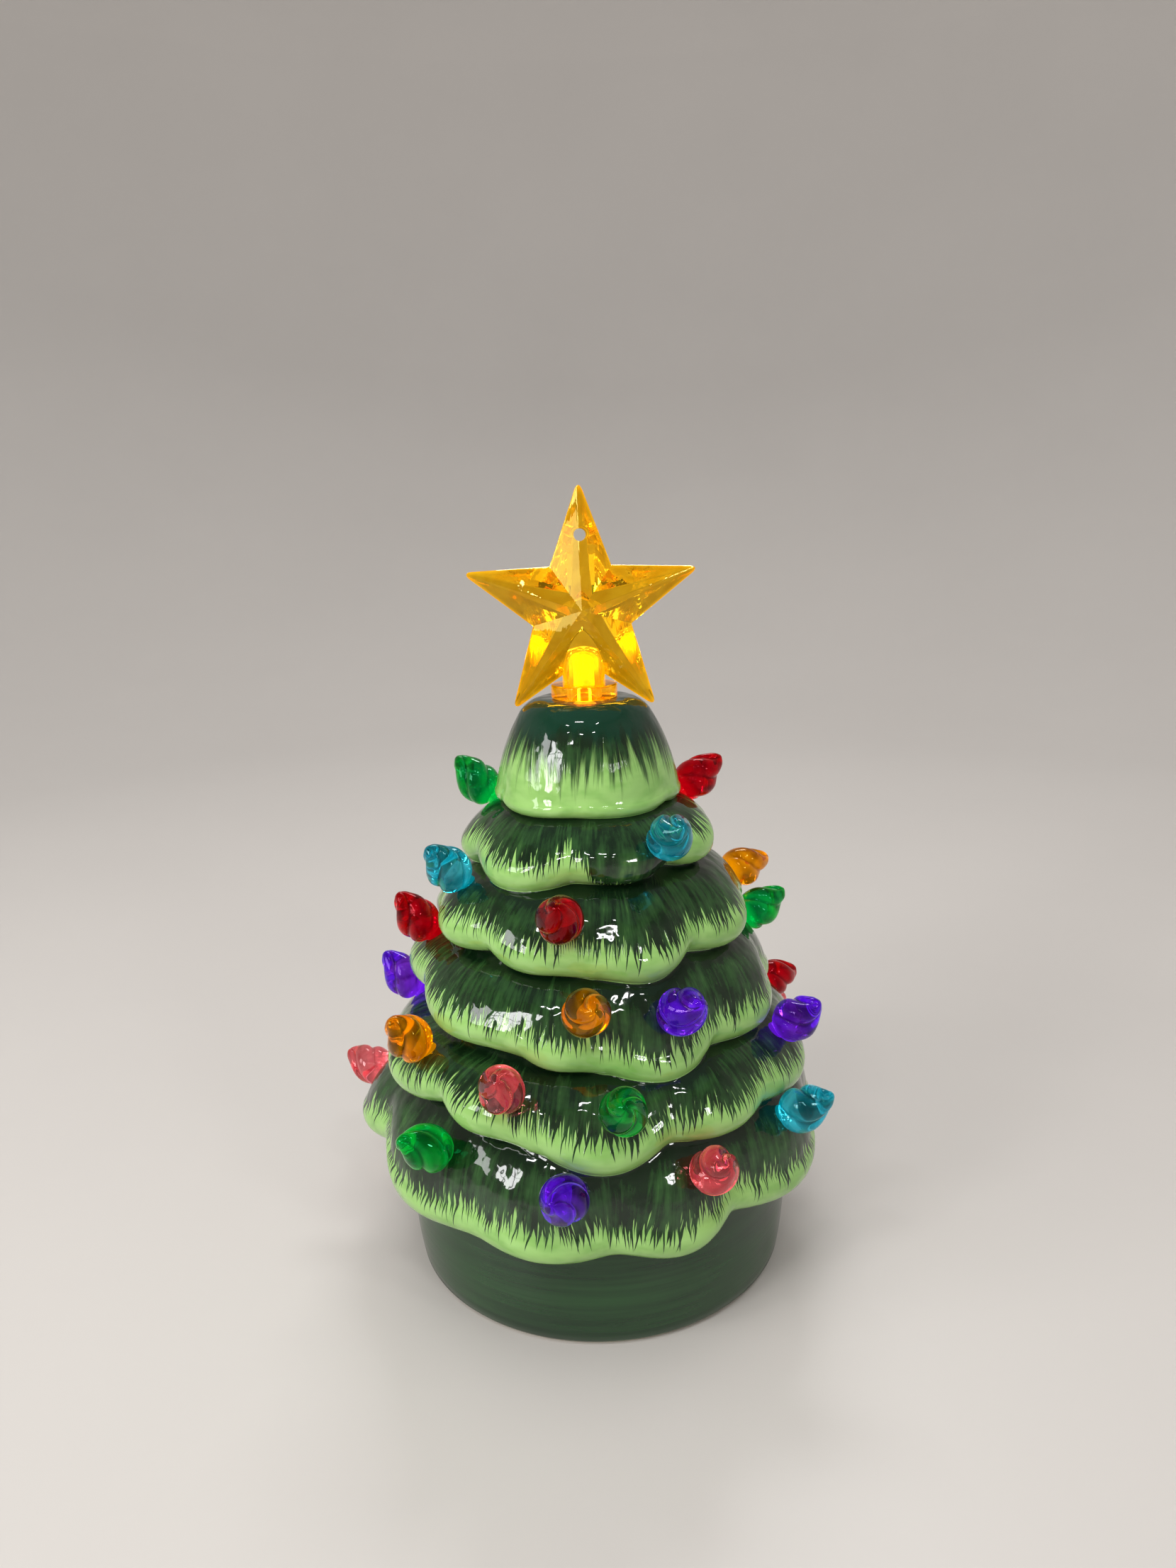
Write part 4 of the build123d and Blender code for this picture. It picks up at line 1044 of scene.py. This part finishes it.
finishes = {name: nodeFinish(name) for name in nodeFinishes}
finishes["led_clear"] = lampClear()
for nodeName, node in nodes.items():
    if slotOf[nodeName] in finishes:
        node.data.materials.clear()
        node.data.materials.append(finishes[slotOf[nodeName]])
print("solids dressed")


# floor, light and camera

stageForm = {
    "floorFlat": 620,
    "floorSweep": 760,
    "sweepSteps": 20,
    "wallHeight": 1800,
    "floorColour": colour(205, 200, 195),
    "floorShade": 0.94,
    "worldColour": (0.62, 0.64, 0.66, 1.0),
    "worldStrength": 0.36,
    "cameraPlace": (0.0002, -0.2409, 0.1716),
    "cameraPitch": 0.2393,
    "cameraRoll": -0.0303,
    "sensor": 36,
    "lens": 36 * 1534 / 2212,    # focal length of the photo in pixels, over its height
}
windowForms = [
    {"place": (-0.56, -0.52, 0.42), "aim": (0, 0, 0.09), "size": (0.075, 0.14), "pitch": (0.09, 0.165),
     "power": 0.60},
    {"place": (0.50, -0.66, 0.44), "aim": (0, 0, 0.09), "size": (0.045, 0.06), "pitch": (0.06, 0.075),
     "power": 0.25},
]
lightForms = [
    {"name": "softAbove", "place": (0.0, -0.25, 1.50), "aim": (0, 0, 0.08), "size": (1.20, 1.20), "power": 8.5,
     "glints": False},
    {"name": "wallLeft", "place": (-0.72, -0.30, 0.41), "aim": (0, 0, 0.12), "size": (0.24, 0.30), "power": 1.8},
    {"name": "backHigh", "place": (0.05, 0.60, 0.85), "aim": (0, 0, 0.10), "size": (0.40, 0.15), "power": 2.2},
]
ceilingForm = {"across": (-0.36, -0.06, 0.24), "ahead": (-0.46, -0.74), "height": 0.85, "aim": (0, 0, 0.08),
               "size": (0.09, 0.03), "power": 0.45}


def paleFloor():
    # round floor that sweeps up into a wall, facing inwards
    flat, sweep = stageForm["floorFlat"], stageForm["floorSweep"]
    turns = [radians(90 * i / stageForm["sweepSteps"]) for i in range(stageForm["sweepSteps"] + 1)]
    rise = [(flat + sweep * sin(a), sweep * (1 - cos(a))) for a in turns]
    bm = lathe([(0, 0), *rise, (flat + sweep, stageForm["wallHeight"])], 128)
    for face in bm.faces:
        if face.normal.z < -0.01:
            face.normal_flip()
    material, tree, shader = newMaterial("paleFloor", Roughness=0.42)
    cloud = noise(tree, objectPlace(tree), 6.0, 3.0)
    light = stageForm["floorColour"]
    shade = [c * stageForm["floorShade"] for c in light[:3]] + [1]
    tree.links.new(mix(tree, cloud, light, shade), shader.inputs["Base Color"])
    floor = finishPiece("paleFloor", bm, [material], None, sharpDegrees=60)


def softRoom():
    world = bpy.data.worlds.new("softRoom")
    world.use_nodes = True
    back = world.node_tree.nodes["Background"]
    back.inputs["Color"].default_value = stageForm["worldColour"]
    back.inputs["Strength"].default_value = stageForm["worldStrength"]
    bpy.context.scene.world = world
    bpy.context.scene.view_settings.view_transform = "Standard"


def studioLamps():
    lamps = list(lightForms)
    for form in windowForms:    # four panes each
        place, (wide, high) = Vector(form["place"]), form["pitch"]
        across = Vector((-place.y, place.x, 0)).normalized()
        for i, j in ((-0.5, -0.5), (0.5, -0.5), (-0.5, 0.5), (0.5, 0.5)):
            pane = place + across * wide * i + Vector((0, 0, high * j))
            lamps.append({**form, "name": "windowPane", "place": pane})
    for x in ceilingForm["across"]:
        for y in ceilingForm["ahead"]:
            lamps.append({**ceilingForm, "name": "ceilingLamp", "place": (x, y, ceilingForm["height"])})
    for form in lamps:
        lamp = bpy.data.lights.new(form["name"], "AREA")
        lamp.shape = "RECTANGLE"
        lamp.size, lamp.size_y = form["size"]
        lamp.energy = form["power"]
        light = bpy.data.objects.new(form["name"], lamp)
        light.location = form["place"]
        aim = Vector(form["aim"]) - Vector(form["place"])
        light.rotation_euler = aim.to_track_quat("-Z", "Y").to_euler()
        light.visible_glossy = form.get("glints", True)
        bpy.context.scene.collection.objects.link(light)


def photoCamera():
    lens = bpy.data.cameras.new("photoCamera")
    lens.lens = stageForm["lens"]
    lens.sensor_width = stageForm["sensor"]
    lens.clip_start, lens.clip_end = 0.01, 20
    eye = bpy.data.objects.new("photoCamera", lens)
    pitch, roll = stageForm["cameraPitch"], stageForm["cameraRoll"]
    up = Vector((0, sin(pitch), cos(pitch)))
    right = Vector((1, 0, 0))
    turnedRight = right * cos(roll) + up * sin(roll)
    turnedUp = up * cos(roll) - right * sin(roll)
    back = turnedRight.cross(turnedUp)
    turn = Matrix((turnedRight, turnedUp, back)).transposed()
    eye.matrix_world = Matrix.Translation(stageForm["cameraPlace"]) @ turn.to_4x4()
    bpy.context.scene.collection.objects.link(eye)
    bpy.context.scene.camera = eye


paleFloor()
softRoom()
studioLamps()
photoCamera()
print("stage and camera set")
